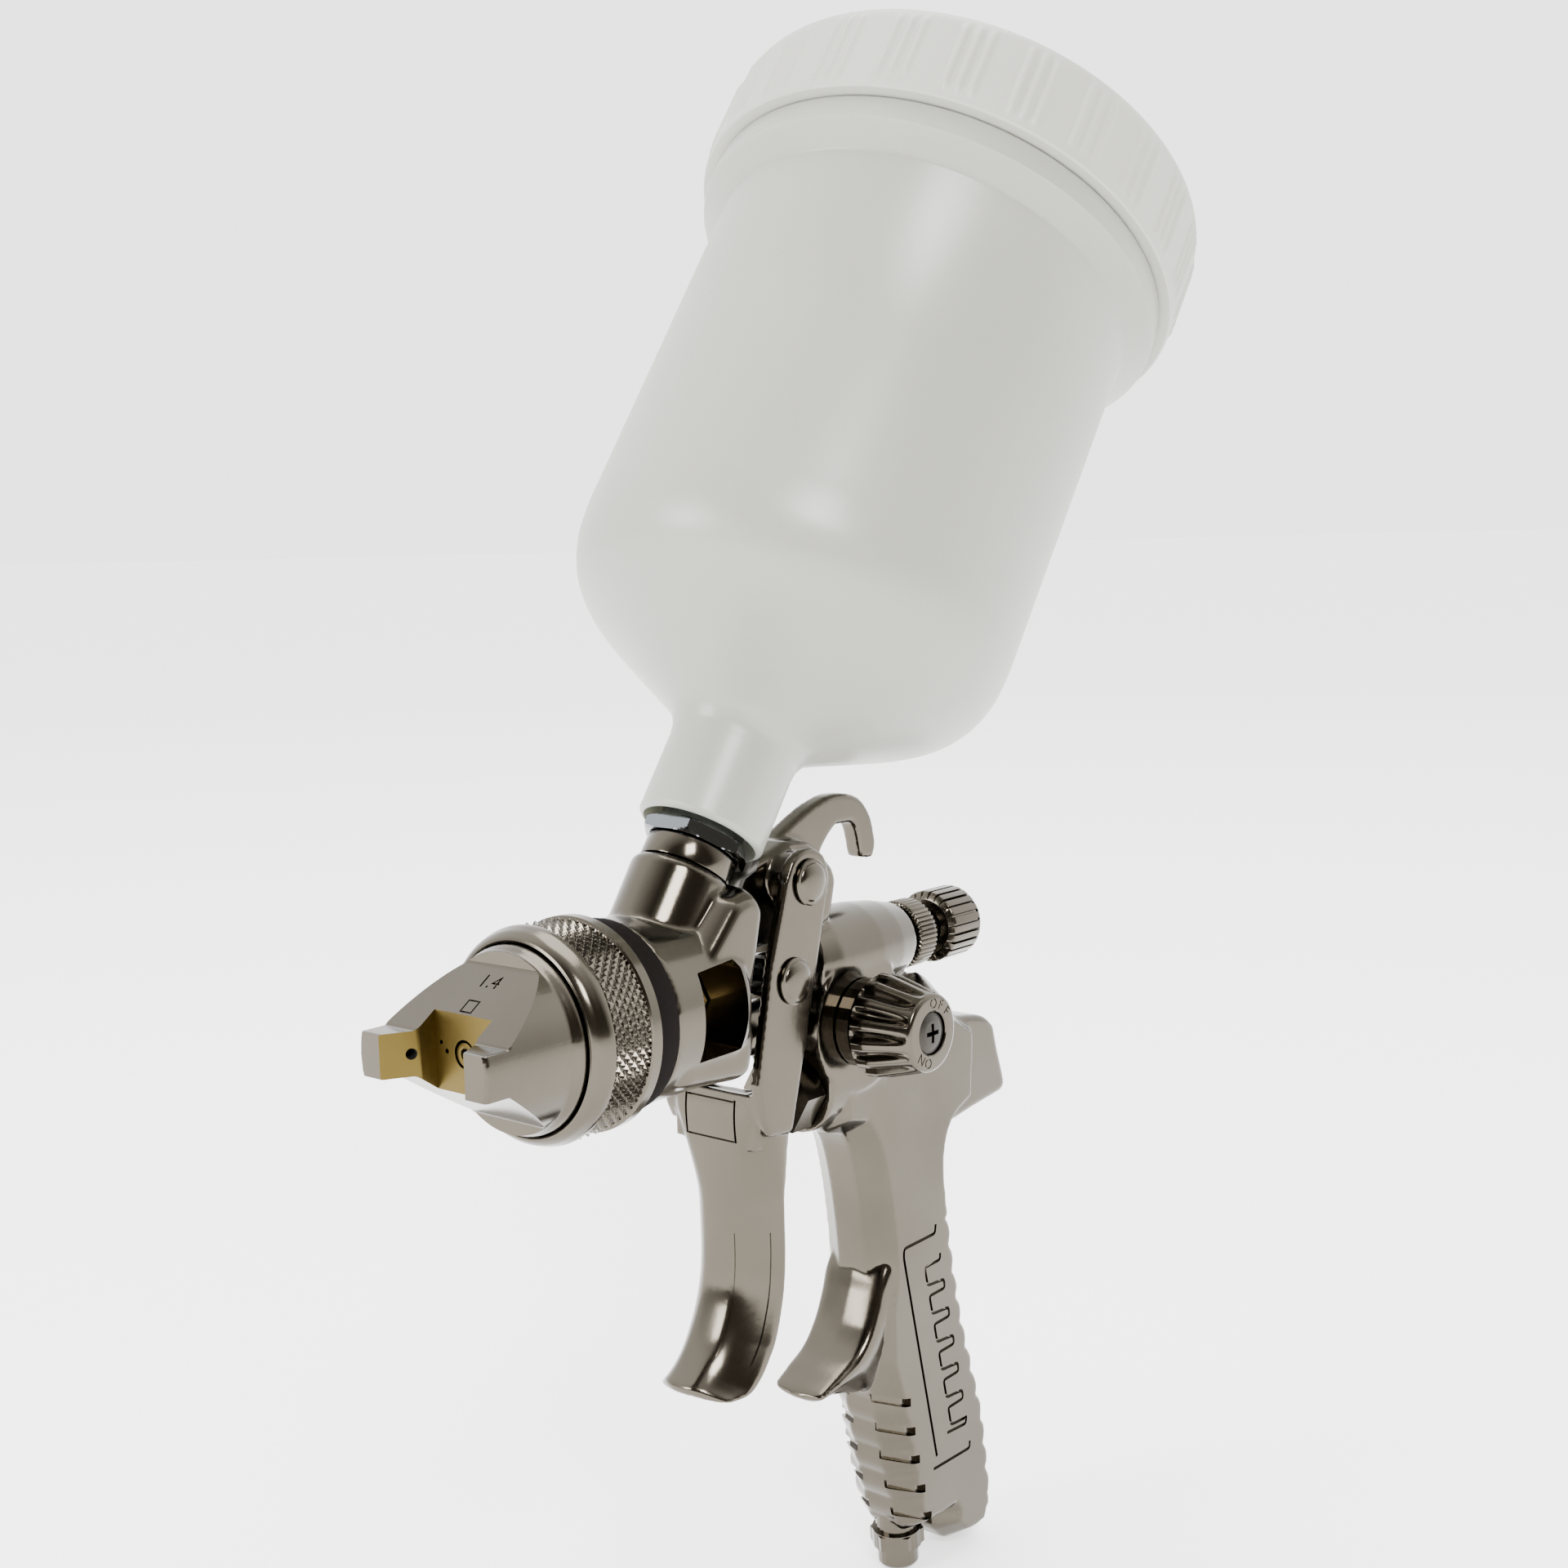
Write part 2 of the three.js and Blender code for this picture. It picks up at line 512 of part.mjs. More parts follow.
const SHOULDER = [[14.8, 59.6], [38.5, 74.9], [43, 79.5], [CUP_RADIUS, 89.5]];
const inside = SHOULDER.map(([r, h]) => [r - CUP_WALL * 0.8, h + CUP_WALL * 0.9]);
place(onCup, 'cup', turned([
  [8.8, 37], [NECK_RADIUS - 0.8, 37], [NECK_RADIUS, 37.8], [NECK_RADIUS, 54.5], [13.2, 57.4], ...SHOULDER, [CUP_RADIUS, 166.5],
  [50.6, 170.6], [50.6, 176], [48.2, 176.4], [48.2, 191], [46.2, 191], [46.2, 176],
  [CUP_RADIUS - CUP_WALL, 168], ...inside.reverse(), [11, 50], [8.8, 49.6],
], 40), CUP_PLASTIC);

place(onCup, 'cup_filter', turned([
  [0, 52], [9.2, 52], [9.2, 53], [5.4, 53.4], [5.4, 72], [0, 72],
], 24), WHITE_PLASTIC);
place(onCup, 'lid_liner', tube(3.4, 45.6, 191.3, 192.6, 32), WHITE_PLASTIC);

const RIB_GROUPS = 12;
const RIB_SAMPLES = RIB_GROUPS * 8;
function lidRadius(angle, sample) {
  return [0, 2, 4].includes(sample % 8) ? LID_RADIUS : LID_RADIUS - 0.6;
}
const lid = carved(
  [prism(lidRadius, RIB_SAMPLES, 177, 197), rod(LID_RADIUS - 2.4, 196, 197.8, 40)],
  [rod(48.8, 170, 191.3, 40), rod(46, 190, 192.9, 40), rod(2.9, 190, 200, 16)],
);
place(onCup, 'lid', lid, WHITE_PLASTIC);
place(onCup, 'vent_plug', turned([
  [0, 191.6], [2.4, 191.6], [2.4, 198.1], [5, 198.1], [5, 199.3], [4.2, 199.9], [0, 199.9],
], 24), WHITE_PLASTIC);

export default gun;
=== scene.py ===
import math

import bmesh
import bpy
import numpy as np
from mathutils import Matrix, Vector


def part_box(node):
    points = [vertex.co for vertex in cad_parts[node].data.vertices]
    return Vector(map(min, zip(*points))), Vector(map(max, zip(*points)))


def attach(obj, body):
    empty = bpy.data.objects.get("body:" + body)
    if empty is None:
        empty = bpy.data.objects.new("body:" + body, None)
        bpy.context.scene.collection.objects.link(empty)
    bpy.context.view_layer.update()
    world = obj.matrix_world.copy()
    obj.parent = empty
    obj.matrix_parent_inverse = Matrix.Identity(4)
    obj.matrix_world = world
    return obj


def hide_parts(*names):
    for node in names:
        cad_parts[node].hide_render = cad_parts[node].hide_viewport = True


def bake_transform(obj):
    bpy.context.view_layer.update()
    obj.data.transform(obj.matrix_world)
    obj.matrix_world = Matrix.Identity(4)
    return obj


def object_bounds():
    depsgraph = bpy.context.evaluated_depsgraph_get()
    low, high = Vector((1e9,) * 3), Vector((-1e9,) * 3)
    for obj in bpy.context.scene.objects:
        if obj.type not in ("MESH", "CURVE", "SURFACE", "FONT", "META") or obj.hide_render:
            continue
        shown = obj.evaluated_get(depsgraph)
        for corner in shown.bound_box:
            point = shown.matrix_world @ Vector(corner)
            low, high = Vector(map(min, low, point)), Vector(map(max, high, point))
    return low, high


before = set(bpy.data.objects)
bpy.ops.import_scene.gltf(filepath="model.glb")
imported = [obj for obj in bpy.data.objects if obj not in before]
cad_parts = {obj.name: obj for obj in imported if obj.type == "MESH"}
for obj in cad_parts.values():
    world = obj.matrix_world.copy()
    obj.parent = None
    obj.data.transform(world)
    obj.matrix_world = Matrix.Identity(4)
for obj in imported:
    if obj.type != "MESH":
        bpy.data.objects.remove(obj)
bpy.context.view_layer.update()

# ---------------------------------------------------------------- camera
# A lens of moderate length in front of the air cap, a little to the fan-knob side and
# a little above the needle, with the gun hanging upright by its hook.

scene = bpy.context.scene
camera_data = bpy.data.cameras.new("camera")
camera_data.sensor_width = 36.0
camera_data.lens = 45.88
camera_data.clip_start = 0.01
camera = bpy.data.objects.new("camera", camera_data)
scene.collection.objects.link(camera)
ahead = np.array([0.76195, 0.63613, -0.12150])
right = np.array([0.63850, -0.76927, -0.02342])
above = np.array([0.10836, 0.05974, 0.99231])
camera_place = np.eye(4)
camera_place[:3, :3] = np.column_stack([right, above, -ahead])
camera_place[:3, 3] = [-0.3245, -0.25727, 0.05916]
camera.matrix_world = Matrix(camera_place.tolist())
bpy.context.scene.camera = camera


# ---------------------------------------------------------------- gun body
# One zinc casting, polished by hand and plated in satin nickel: head, cup boss, pivot
# arms, rear boss, fan boss, handle with finger hook, and the hook that it hangs by.
# It is made as its plain volumes, joined by one skin, and then bored and cut.

needle_low, needle_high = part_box("fluid_needle")
NEEDLE_AXIS = np.array([needle_low.x + 0.0669, 0.0, (needle_low.z + needle_high.z) / 2])


def in_frame(points):
    """Millimetres from the middle of the head become metres in the frame: p / 1000 + axis."""
    return np.asarray(points, float) / 1000 + NEEDLE_AXIS


def curve_through(points, steps=10):
    """Catmull-Rom: each span is the cubic whose slope at a point is half of next - last."""
    knots = np.asarray(points, float)
    knots = np.vstack([2 * knots[0] - knots[1], knots, 2 * knots[-1] - knots[-2]])
    before, start, end, after = (knots[k:len(knots) - 3 + k, None] for k in range(4))
    t = np.linspace(0, 1, steps, endpoint=False)[None, :, None]
    cubic = 0.5 * (2 * start + (end - before) * t
                   + (2 * before - 5 * start + 4 * end - after) * t ** 2
                   + (3 * start - before - 3 * end + after) * t ** 3)
    return np.vstack([cubic.reshape(-1, 2), knots[-2]])


def outline(*runs, spacing=0.6):
    """Corners and smooth runs joined to a closed line, walked at an even spacing."""
    line = np.vstack([curve_through(run) if isinstance(run[0], (list, tuple)) else [run]
                      for run in runs])
    line = np.vstack([line, line[:1]])
    gone = np.concatenate([[0], np.cumsum(np.linalg.norm(np.diff(line, axis=0), axis=1))])
    even = np.linspace(0, gone[-1], int(gone[-1] / spacing), endpoint=False)
    return np.column_stack([np.interp(even, gone, line[:, k]) for k in (0, 1)])


def grid_faces(rows, columns):
    """Quads of a grid whose columns close on themselves."""
    index = np.arange(rows * columns).reshape(rows, columns)
    following = np.roll(index, -1, axis=1)
    quads = [index[:-1], following[:-1], following[1:], index[1:]]
    return np.stack(quads, axis=-1).reshape(-1, 4).tolist()


def tube_faces(rows, columns):
    """The same grid with one face over each end."""
    last = (rows - 1) * columns
    return grid_faces(rows, columns) + [list(range(columns))[::-1],
                                        list(range(last, last + columns))]


def slab(line, half, depth=0.0, width=0.0, steps=5):
    """Line spread across the gun: y from -half to half, and the line grows outwards by
    width * sin(t) while y moves in by depth * (1 - cos(t)), for t up to a quarter turn."""
    t = np.linspace(0, math.pi / 2, steps + 1) if depth else np.zeros(1)
    growth = width * np.sin(t)
    level = half - depth * (1 - np.cos(t))
    along = np.roll(line, -1, axis=0) - np.roll(line, 1, axis=0)
    normal = np.column_stack([along[:, 1], -along[:, 0]])
    normal /= np.linalg.norm(normal, axis=1)[:, None]
    area = np.sum(line[:, 0] * np.roll(line[:, 1], -1) - line[:, 1] * np.roll(line[:, 0], -1))
    normal *= np.sign(area)
    growth = np.concatenate([growth, growth[::-1]])
    level = np.concatenate([-level, level[::-1]])
    flat = line[None] + normal[None] * growth[:, None, None]
    points = np.stack([flat[..., 0], np.broadcast_to(level[:, None], flat.shape[:2]),
                       flat[..., 1]], axis=-1).reshape(-1, 3)
    return points, tube_faces(len(level), len(line))


def axis_at(base, direction, side):
    """A turning axis: where it starts, where it points, and two directions across it."""
    direction, side = np.asarray(direction, float), np.asarray(side, float)
    return np.asarray(base, float), direction, np.cross(side, direction), side


def rounded(profile, radius=0.25, steps=3):
    """Each corner of a closed profile becomes a short parabola between points that lie
    radius before and after it. Points on the axis stay."""
    profile = np.asarray(profile, float)
    before = np.roll(profile, 1, axis=0) - profile
    after = np.roll(profile, -1, axis=0) - profile
    t = np.linspace(0, 1, steps)[None, :, None]
    reach = [np.minimum(radius, 0.45 * np.linalg.norm(d, axis=1))[:, None]
             * d / np.maximum(np.linalg.norm(d, axis=1), 1e-9)[:, None] for d in (before, after)]
    reach = [np.where(profile[:, :1] < 1e-6, 0, d)[:, None] for d in reach]
    bent = profile[:, None] + reach[0] * (1 - t) ** 2 + reach[1] * t ** 2
    return bent.reshape(-1, 2)


def turned(profile, axis, segments=72, swell=None):
    """Profile of radius and height turned round an axis; swell(angle, height, radius)
    gives the radius where the surface isn't round."""
    base, direction, across, side = axis
    radius, height = np.asarray(profile, float).T
    angle = np.linspace(0, 2 * math.pi, segments, endpoint=False)[None]
    radius = np.broadcast_to(radius[:, None], (len(height), segments))
    height = np.broadcast_to(height[:, None], radius.shape)
    if swell:
        radius = swell(np.broadcast_to(angle, radius.shape), height, radius)
    points = (base + height[..., None] * direction
              + (radius * np.cos(angle))[..., None] * across
              + (radius * np.sin(angle))[..., None] * side).reshape(-1, 3)
    rows = len(height)
    faces = grid_faces(rows, segments)
    if profile[0][0] > 1e-6 or profile[-1][0] > 1e-6:
        first = np.arange(segments)
        last = first + (rows - 1) * segments
        ring = np.stack([last, np.roll(last, -1), np.roll(first, -1), first], axis=-1)
        faces += ring.tolist()
    return points, faces


def rod(radius, start, end, axis, segments=48):
    """A round bar from one height to another."""
    return turned([[0, start], [radius, start], [radius, end], [0, end]], axis, segments)


def block(x0, x1, y0, y1, z0, z1):
    """A brick between two corners."""
    line = np.array([[x0, z0], [x1, z0], [x1, z1], [x0, z1]], float)
    points, faces = slab(line, (y1 - y0) / 2)
    return points + [0, (y0 + y1) / 2, 0], faces


def make_mesh(name, shells):
    """Shells in millimetres joined in one mesh, doubles merged, faces outwards."""
    points, faces = [], []
    for shell_points, shell_faces in shells:
        start = sum(len(p) for p in points)
        points.append(in_frame(shell_points))
        faces += [[start + k for k in face] for face in shell_faces]
    mesh = bpy.data.meshes.new(name)
    mesh.from_pydata(np.vstack(points).tolist(), [], faces)
    work = bmesh.new()
    work.from_mesh(mesh)
    bmesh.ops.remove_doubles(work, verts=work.verts, dist=2e-7)
    bmesh.ops.dissolve_degenerate(work, edges=work.edges, dist=1e-7)
    bmesh.ops.recalc_face_normals(work, faces=work.faces)
    work.to_mesh(mesh)
    work.free()
    return mesh


def add_piece(name, shells, body, material, *nodes, slot=None, sharp=38):
    """A finished piece: its mesh, its finish, the body it rides on, the nodes it stands for."""
    made = bpy.data.objects.new(name, shells if isinstance(shells, bpy.types.Mesh)
                                else make_mesh(name, shells))
    scene.collection.objects.link(made)
    made.data.materials.clear()
    made.data.materials.append(material)
    made.data.shade_smooth()
    made.data.set_sharp_from_angle(angle=math.radians(sharp))
    if body:
        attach(made, body)
    if nodes:
        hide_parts(*nodes)
    return made


def applied(mesh, *settings):
    """The mesh after modifiers, each given as its type and its values."""
    holder = bpy.data.objects.new("working", mesh)
    scene.collection.objects.link(holder)
    for kind, values in settings:
        modifier = holder.modifiers.new(kind.lower(), kind)
        for key, value in values.items():
            setattr(modifier, key, value)
    graph = bpy.context.evaluated_depsgraph_get()
    result = bpy.data.meshes.new_from_object(holder.evaluated_get(graph), depsgraph=graph)
    bpy.data.objects.remove(holder)
    return result


def one_skin(name, shells, voxel, passes):
    """Overlapping closed volumes become one skin of even cells, softened by averaging."""
    return applied(make_mesh(name, shells),
                   ("REMESH", {"mode": "VOXEL", "voxel_size": voxel / 1000, "adaptivity": 0.0}),
                   ("SMOOTH", {"factor": 0.5, "iterations": passes}))


def cut_away(mesh, *cutters):
    """The mesh less each cutter in turn; a cutter is one list of shells that don't touch."""
    for shells in cutters:
        tool = bpy.data.objects.new("tool", make_mesh("tool", shells))
        scene.collection.objects.link(tool)
        mesh = applied(mesh, ("BOOLEAN", {"operation": "DIFFERENCE", "object": tool,
                                          "solver": "MANIFOLD"}))
        bpy.data.objects.remove(tool)
    return mesh


def surface_grain():
    """Node group: two colours mixed by slow clouds, a roughness that follows finer ones,
    and a height of fine scratches, all over Object coordinates."""
    group = bpy.data.node_groups.new("surface_grain", "ShaderNodeTree")
    face = group.interface
    for label, kind, value in (("Low Color", "NodeSocketColor", (0.3, 0.3, 0.3, 1)),
                               ("High Color", "NodeSocketColor", (0.5, 0.5, 0.5, 1)),
                               ("Cloud Scale", "NodeSocketFloat", 40.0),
                               ("Grain Scale", "NodeSocketFloat", 900.0),
                               ("Low Roughness", "NodeSocketFloat", 0.2),
                               ("High Roughness", "NodeSocketFloat", 0.4)):
        face.new_socket(label, in_out="INPUT", socket_type=kind).default_value = value
    for label, kind in (("Color", "NodeSocketColor"), ("Roughness", "NodeSocketFloat"),
                        ("Height", "NodeSocketFloat")):
        face.new_socket(label, in_out="OUTPUT", socket_type=kind)
    nodes, links = group.nodes, group.links
    given, put = nodes.new("NodeGroupInput"), nodes.new("NodeGroupOutput")
    place = nodes.new("ShaderNodeTexCoord")
    cloud = nodes.new("ShaderNodeTexNoise")
    cloud.inputs["Detail"].default_value = 5.0
    grain = nodes.new("ShaderNodeTexNoise")
    grain.inputs["Detail"].default_value = 3.0
    mix = nodes.new("ShaderNodeMix")
    mix.data_type = "RGBA"
    spread = nodes.new("ShaderNodeMapRange")
    links.new(place.outputs["Object"], cloud.inputs["Vector"])
    links.new(place.outputs["Object"], grain.inputs["Vector"])
    links.new(given.outputs["Cloud Scale"], cloud.inputs["Scale"])
    links.new(given.outputs["Grain Scale"], grain.inputs["Scale"])
    links.new(cloud.outputs["Fac"], mix.inputs["Factor"])
    links.new(given.outputs["Low Color"], mix.inputs["A"])
    links.new(given.outputs["High Color"], mix.inputs["B"])
    links.new(cloud.outputs["Fac"], spread.inputs["Value"])
    spread.inputs["From Min"].default_value = 0.3
    spread.inputs["From Max"].default_value = 0.7
    links.new(given.outputs["Low Roughness"], spread.inputs["To Min"])
    links.new(given.outputs["High Roughness"], spread.inputs["To Max"])
    links.new(mix.outputs["Result"], put.inputs["Color"])
    links.new(spread.outputs["Result"], put.inputs["Roughness"])
    links.new(grain.outputs["Fac"], put.inputs["Height"])
    return group


GRAIN = surface_grain()


def finish(name, low, high, roughness, metallic=1.0, clouds=40.0, grain=900.0, bump=0.05,
           **constants):
    """A Principled finish whose colour, roughness and bump come from the grain group."""
    material = bpy.data.materials.new(name)
    material.use_nodes = True
    nodes, links = material.node_tree.nodes, material.node_tree.links
    shader = nodes["Principled BSDF"]
    shader.inputs["Metallic"].default_value = metallic
    for label, value in constants.items():
        shader.inputs[label.replace("_", " ")].default_value = value
    group = nodes.new("ShaderNodeGroup")
    group.node_tree = GRAIN
    for label, value in (("Low Color", (*low, 1)), ("High Color", (*high, 1)),
                         ("Cloud Scale", clouds), ("Grain Scale", grain),
                         ("Low Roughness", roughness[0]), ("High Roughness", roughness[1])):
        group.inputs[label].default_value = value
    rise = nodes.new("ShaderNodeBump")
    rise.inputs["Strength"].default_value = bump
    rise.inputs["Distance"].default_value = 0.0002
    links.new(group.outputs["Color"], shader.inputs["Base Color"])
    links.new(group.outputs["Roughness"], shader.inputs["Roughness"])
    links.new(group.outputs["Height"], rise.inputs["Height"])
    links.new(rise.outputs["Normal"], shader.inputs["Normal"])
    return material


SATIN_NICKEL = finish("satin_nickel", (0.058, 0.050, 0.038), (0.112, 0.100, 0.081), (0.12, 0.22),
                      clouds=28)

NEEDLE = axis_at([0, 0, 0], [1, 0, 0], [0, 0, 1])
CUP_TILT = math.radians(35)
CUP = axis_at([-26.7, 0, 0], [math.sin(CUP_TILT), 0, math.cos(CUP_TILT)], [0, 1, 0])
SIDE_HALF = 9.4
PIVOT = [12, 19.7]
YOKE = [6.6, 0.9]
FAN = [31.7, -12.7]
VALVE_Z = -26


def across_at(place):
    """The axis square to the gun's side through a place, pointing at the fan-knob side."""
    return axis_at([place[0], 0, place[1]], [0, -1, 0], [0, 0, 1])


VALVE = axis_at([0, 0, VALVE_Z], [1, 0, 0], [0, 0, 1])
PASSAGE = axis_at([0, 0, -10.6], [1, 0, 0], [0, 0, 1])


def swept(front, back, half, section, later=None, fade=(0, 1), ends=(0.35, 0.35), stations=90,
          around=12):
    """A bar between two edge lines in the gun's middle plane: at each station a closed
    section of (share of the half width, share of the way from front to back) is laid
    across them, changing from section to later over fade, and it shrinks towards its
    middle at both ends as a quarter circle."""
    front, back = (curve_through(line, 24) for line in (front, back))
    along = np.linspace(0, 1, stations)
    front, back = (np.column_stack([np.interp(along, np.linspace(0, 1, len(line)), line[:, k])
                                    for k in (0, 1)]) for line in (front, back))
    half = np.interp(along, *np.array(half).T)
    loops = []
    for shape in (section, later or section):
        knots = np.vstack([shape, [[-u, v] for u, v in shape[::-1]], shape[:1]])
        loops.append(curve_through(knots, around)[:-1][None])
    change = np.clip((along - fade[0]) / (fade[1] - fade[0]), 0, 1)[:, None, None]
    change = change * change * (3 - 2 * change)
    loop = loops[0] * (1 - change) + loops[1] * change
    u, v = loop[..., 0] * half[:, None], loop[..., 1]
    x = front[:, :1] + (back - front)[:, :1] * v
    z = front[:, 1:] + (back - front)[:, 1:] * v
    points = np.stack([x, u, z], axis=-1)
    middle = points.mean(axis=1, keepdims=True)
    near = np.minimum(along / max(ends[0], 1e-6) * 8, (1 - along) / max(ends[1], 1e-6) * 8)
    shrink = np.sqrt(1 - (1 - np.clip(near, 0.02, 1)) ** 2)[:, None, None]
    points = middle + (points - middle) * shrink
    return points.reshape(-1, 3), tube_faces(stations, u.shape[1]), points


REST_TOP = [[46, -60], [43.6, -65.5], [40.2, -70.4], [38.2, -75.6], [35.2, -81.6], [31, -86],
            [25.2, -88.8], [19.2, -91.4]]
REST_BELOW = [[52, -72], [51, -82], [48, -92], [43.5, -97.6], [37.6, -97.0], [31.4, -95.2],
              [25.4, -93.8], [20.4, -93.3]]
REST_HALF = [[0, 8.4], [0.3, 8.6], [0.6, 8.0], [0.85, 7.2], [1, 6.4]]
REST_SECTION = [[0, -0.02], [0.5, 0.0], [0.88, 0.04], [1.0, 0.16], [0.96, 0.36], [0.8, 0.62],
                [0.52, 0.9], [0.25, 1.0], [0, 1.0]]
rest_points, rest_faces, _ = swept(REST_TOP, REST_BELOW, REST_HALF, REST_SECTION,
                                   ends=(0.1, 0.3))


def scalloped(line, keep, period, height):
    """A closed line moved outwards by height * |sin| along its length where keep says so,
    which leaves rounded bumps with sharp valleys between them."""
    along = np.roll(line, -1, axis=0) - np.roll(line, 1, axis=0)
    normal = np.column_stack([along[:, 1], -along[:, 0]])
    normal /= np.linalg.norm(normal, axis=1)[:, None]
    normal *= np.sign(np.sum(line[:, 0] * np.roll(line[:, 1], -1)
                             - line[:, 1] * np.roll(line[:, 0], -1)))
    bump = height * (abs(np.sin(line[:, 1] * math.pi / period)) - 0.75)
    return line + normal * np.where(keep, bump, 0)[:, None]


handle_line = outline(
    [24.5, -3], [23.5, -14], [27.5, -18], [28, -33],
    [[34.6, -34.5], [38.4, -41], [41.2, -51.5], [43.2, -64.9], [43.4, -72.2], [42, -79]],
    [42, -90], [[44.6, -98], [46.6, -108], [48.3, -116], [50.4, -123.5], [52.6, -130.4]],
    [64.8, -130.4], [65.6, -136], [[68.2, -138.6], [72, -139.2], [75.4, -138.8]],
    [[77.6, -134], [75.0, -115], [71.6, -103], [67.6, -90], [64.6, -77], [62.0, -61], [61.2, -51],
     [62.6, -44.5], [66, -40.4], [72, -37.8]],
    [73, -24], [[65.8, -19.5], [62, -14], [57, -11], [50, -10]], [30, -6], spacing=0.35)
behind = (handle_line[:, 0] > 58) & (handle_line[:, 1] < -63) & (handle_line[:, 1] > -136)
ahead_of = (handle_line[:, 0] < 53) & (handle_line[:, 1] < -99) & (handle_line[:, 1] > -129.5)
handle_line = scalloped(handle_line, behind, period=6.35, height=1.1)
handle_line = scalloped(handle_line, ahead_of, period=6.2, height=0.9)

casting = one_skin("gun_body_skin", [
    turned([[0, -46.2], [15.4, -46.2], [15.4, -31.6], [17.8, -31.6], [17.8, -14], [17.2, -11],
            [15.3, -9.2], [12, -7.6], [0, -7.5]], NEEDLE, 90),
    slab(outline([-26, -11], [-10.6, -12.4], [-9.2, -7], [-10.4, -2],
                 [[-6, 16.5], [-7.5, 18.4], [-11, 17.6]], [-26, 2]), 15.2, 7.5, 3.4, 6),
    turned([[0, 0], [9.9, 0], [10.2, 27.4], [9.4, 28.6], [0, 28.6]], CUP, 72),
    slab(outline([-13, 8.2], [20, 8.2], [26, 10.2], [27.8, 17], [[27, 19], [21, 24.3], [14, 25.8]],
                 [-3, 20.8], [-13, 13]), 6.6, 1.6, 1.2),
    rod(5.6, -10.5, 10.5, across_at(PIVOT)),
    rod(5.4, -12, 24, PASSAGE),
    turned([[0, 20], [9.4, 20], [10.4, 26], [10.1, 40], [9.2, 48], [7.8, 54.6], [0, 54.6]],
           NEEDLE, 72),
    rod(14.5, -10, 10, across_at(FAN), 72),
    rod(9.6, 21.5, 40, VALVE),
    slab(handle_line, SIDE_HALF, 5.6, 3.6, 1),
    slab(outline([60, -19.2], [[69.8, -20.8], [79.4, -22.6], [83.4, -25.2]],
                 [[84.8, -30.4], [87.4, -38.4], [86.6, -39.6]], [75.6, -40.8], [60, -43]),
         7.6, 1.5, 1.2),
    (rest_points, rest_faces),
    slab(outline(
        [[7, 23.4], [13, 25.4], [22.4, 29.7], [28.4, 32], [35, 33.2], [42, 31.8], [46, 27.6],
         [47.6, 22]],
        [46.9, 19.4], [43.6, 19.8], [[42.9, 23], [42, 25.8], [40.6, 27.7]], [39.6, 27.9],
        [34.4, 27.9], [[31.6, 25.8], [28.8, 22.4], [28, 18]], [20, 14]), 2.2, 0.8, 0.6),
], voxel=0.55, passes=3)

# Bored and milled: nozzle socket, air ring, packing gland, window, slot for the yoke, hole for
# the needle, spring and valve bores, rear face, fan valve, valve nut, cup sleeve, pivot pin.
casting = cut_away(
    casting,
    [rod(7.5, -47, -27, NEEDLE)],
    [turned([[9.6, -47], [13.4, -47], [13.4, -36], [9.6, -36]], NEEDLE, 60)],
    [rod(5.4, -28, -22, NEEDLE)],
    [slab(outline([[-24.3, -8.4], [-24.6, 0], [-24.3, 8.4]], [[-14, 9.2], [-12.4, 7.4]],
                  [[-12.2, -2], [-12.4, -8.2]], spacing=0.5), 20)],
    [slab(np.array([[-8.4, 6.9], [21.6, 6.9], [19.2, -4.9], [-8.4, -4.9]]), 12)],
    [rod(2.4, -14, 26, NEEDLE)],
    [rod(5.6, 23, 56, NEEDLE), rod(6.4, 20, 44, VALVE)],
    [rod(9, 54.6, 70, NEEDLE)],
    [rod(5.2, -6.6, 12, across_at(FAN))],
    [rod(9.3, 8, 21.3, VALVE)],
    [turned([[0, 20], [7.6, 20], [7.6, 28.7], [11.8, 28.7], [11.8, 33], [13.6, 36], [13.6, 70],
             [0, 70]], CUP, 72)],
    [rod(2.9, -12, 12, across_at(PIVOT))],
)


def groove(line, width=0.75, depth=0.65):
    """A shallow slot in both sides of the handle along a line in x and z, with rounded
    corners: the line is walked evenly, averaged, and spread by half the width each way."""
    line = np.asarray(line, float)
    gone = np.concatenate([[0], np.cumsum(np.linalg.norm(np.diff(line, axis=0), axis=1))])
    even = np.arange(0, gone[-1], 0.25)
    line = np.column_stack([np.interp(even, gone, line[:, k]) for k in (0, 1)])
    smooth = line.copy()
    for _ in range(6):
        smooth[1:-1] = (smooth[:-2] + smooth[1:-1] + smooth[2:]) / 3
    slope = np.gradient(smooth, axis=0)
    slope /= np.linalg.norm(slope, axis=1)[:, None]
    spread = np.column_stack([-slope[:, 1], slope[:, 0]]) * width / 2
    points, faces = slab(np.vstack([smooth + spread, (smooth - spread)[::-1]]), 1.5)
    return [(points + [0, side * (SIDE_HALF - depth + 1.5), 0], faces) for side in (-1, 1)]


def pocket(crease, height, tall=1.9, depth=1.2):
    """A finger notch over both front edges of the grip: a prism whose inner face lies
    depth below the side and the slanted front facet, sheared down towards the back."""
    reach = SIDE_HALF - depth
    floor_line = np.array([[2.4, reach + 3], [2.4, reach], [0, reach], [-3.3, reach - 5.2],
                           [-6, reach - 5.2], [-6, reach + 3]])
    shells = []
    for side in (-1, 1):
        x = np.tile(floor_line[:, 0], 2)
        z = np.repeat([0, -tall], len(floor_line)) - 0.26 * x
        points = np.column_stack([x + crease, np.tile(floor_line[:, 1], 2) * side, z + height])
        shells.append((points, tube_faces(2, len(floor_line))))
    return shells


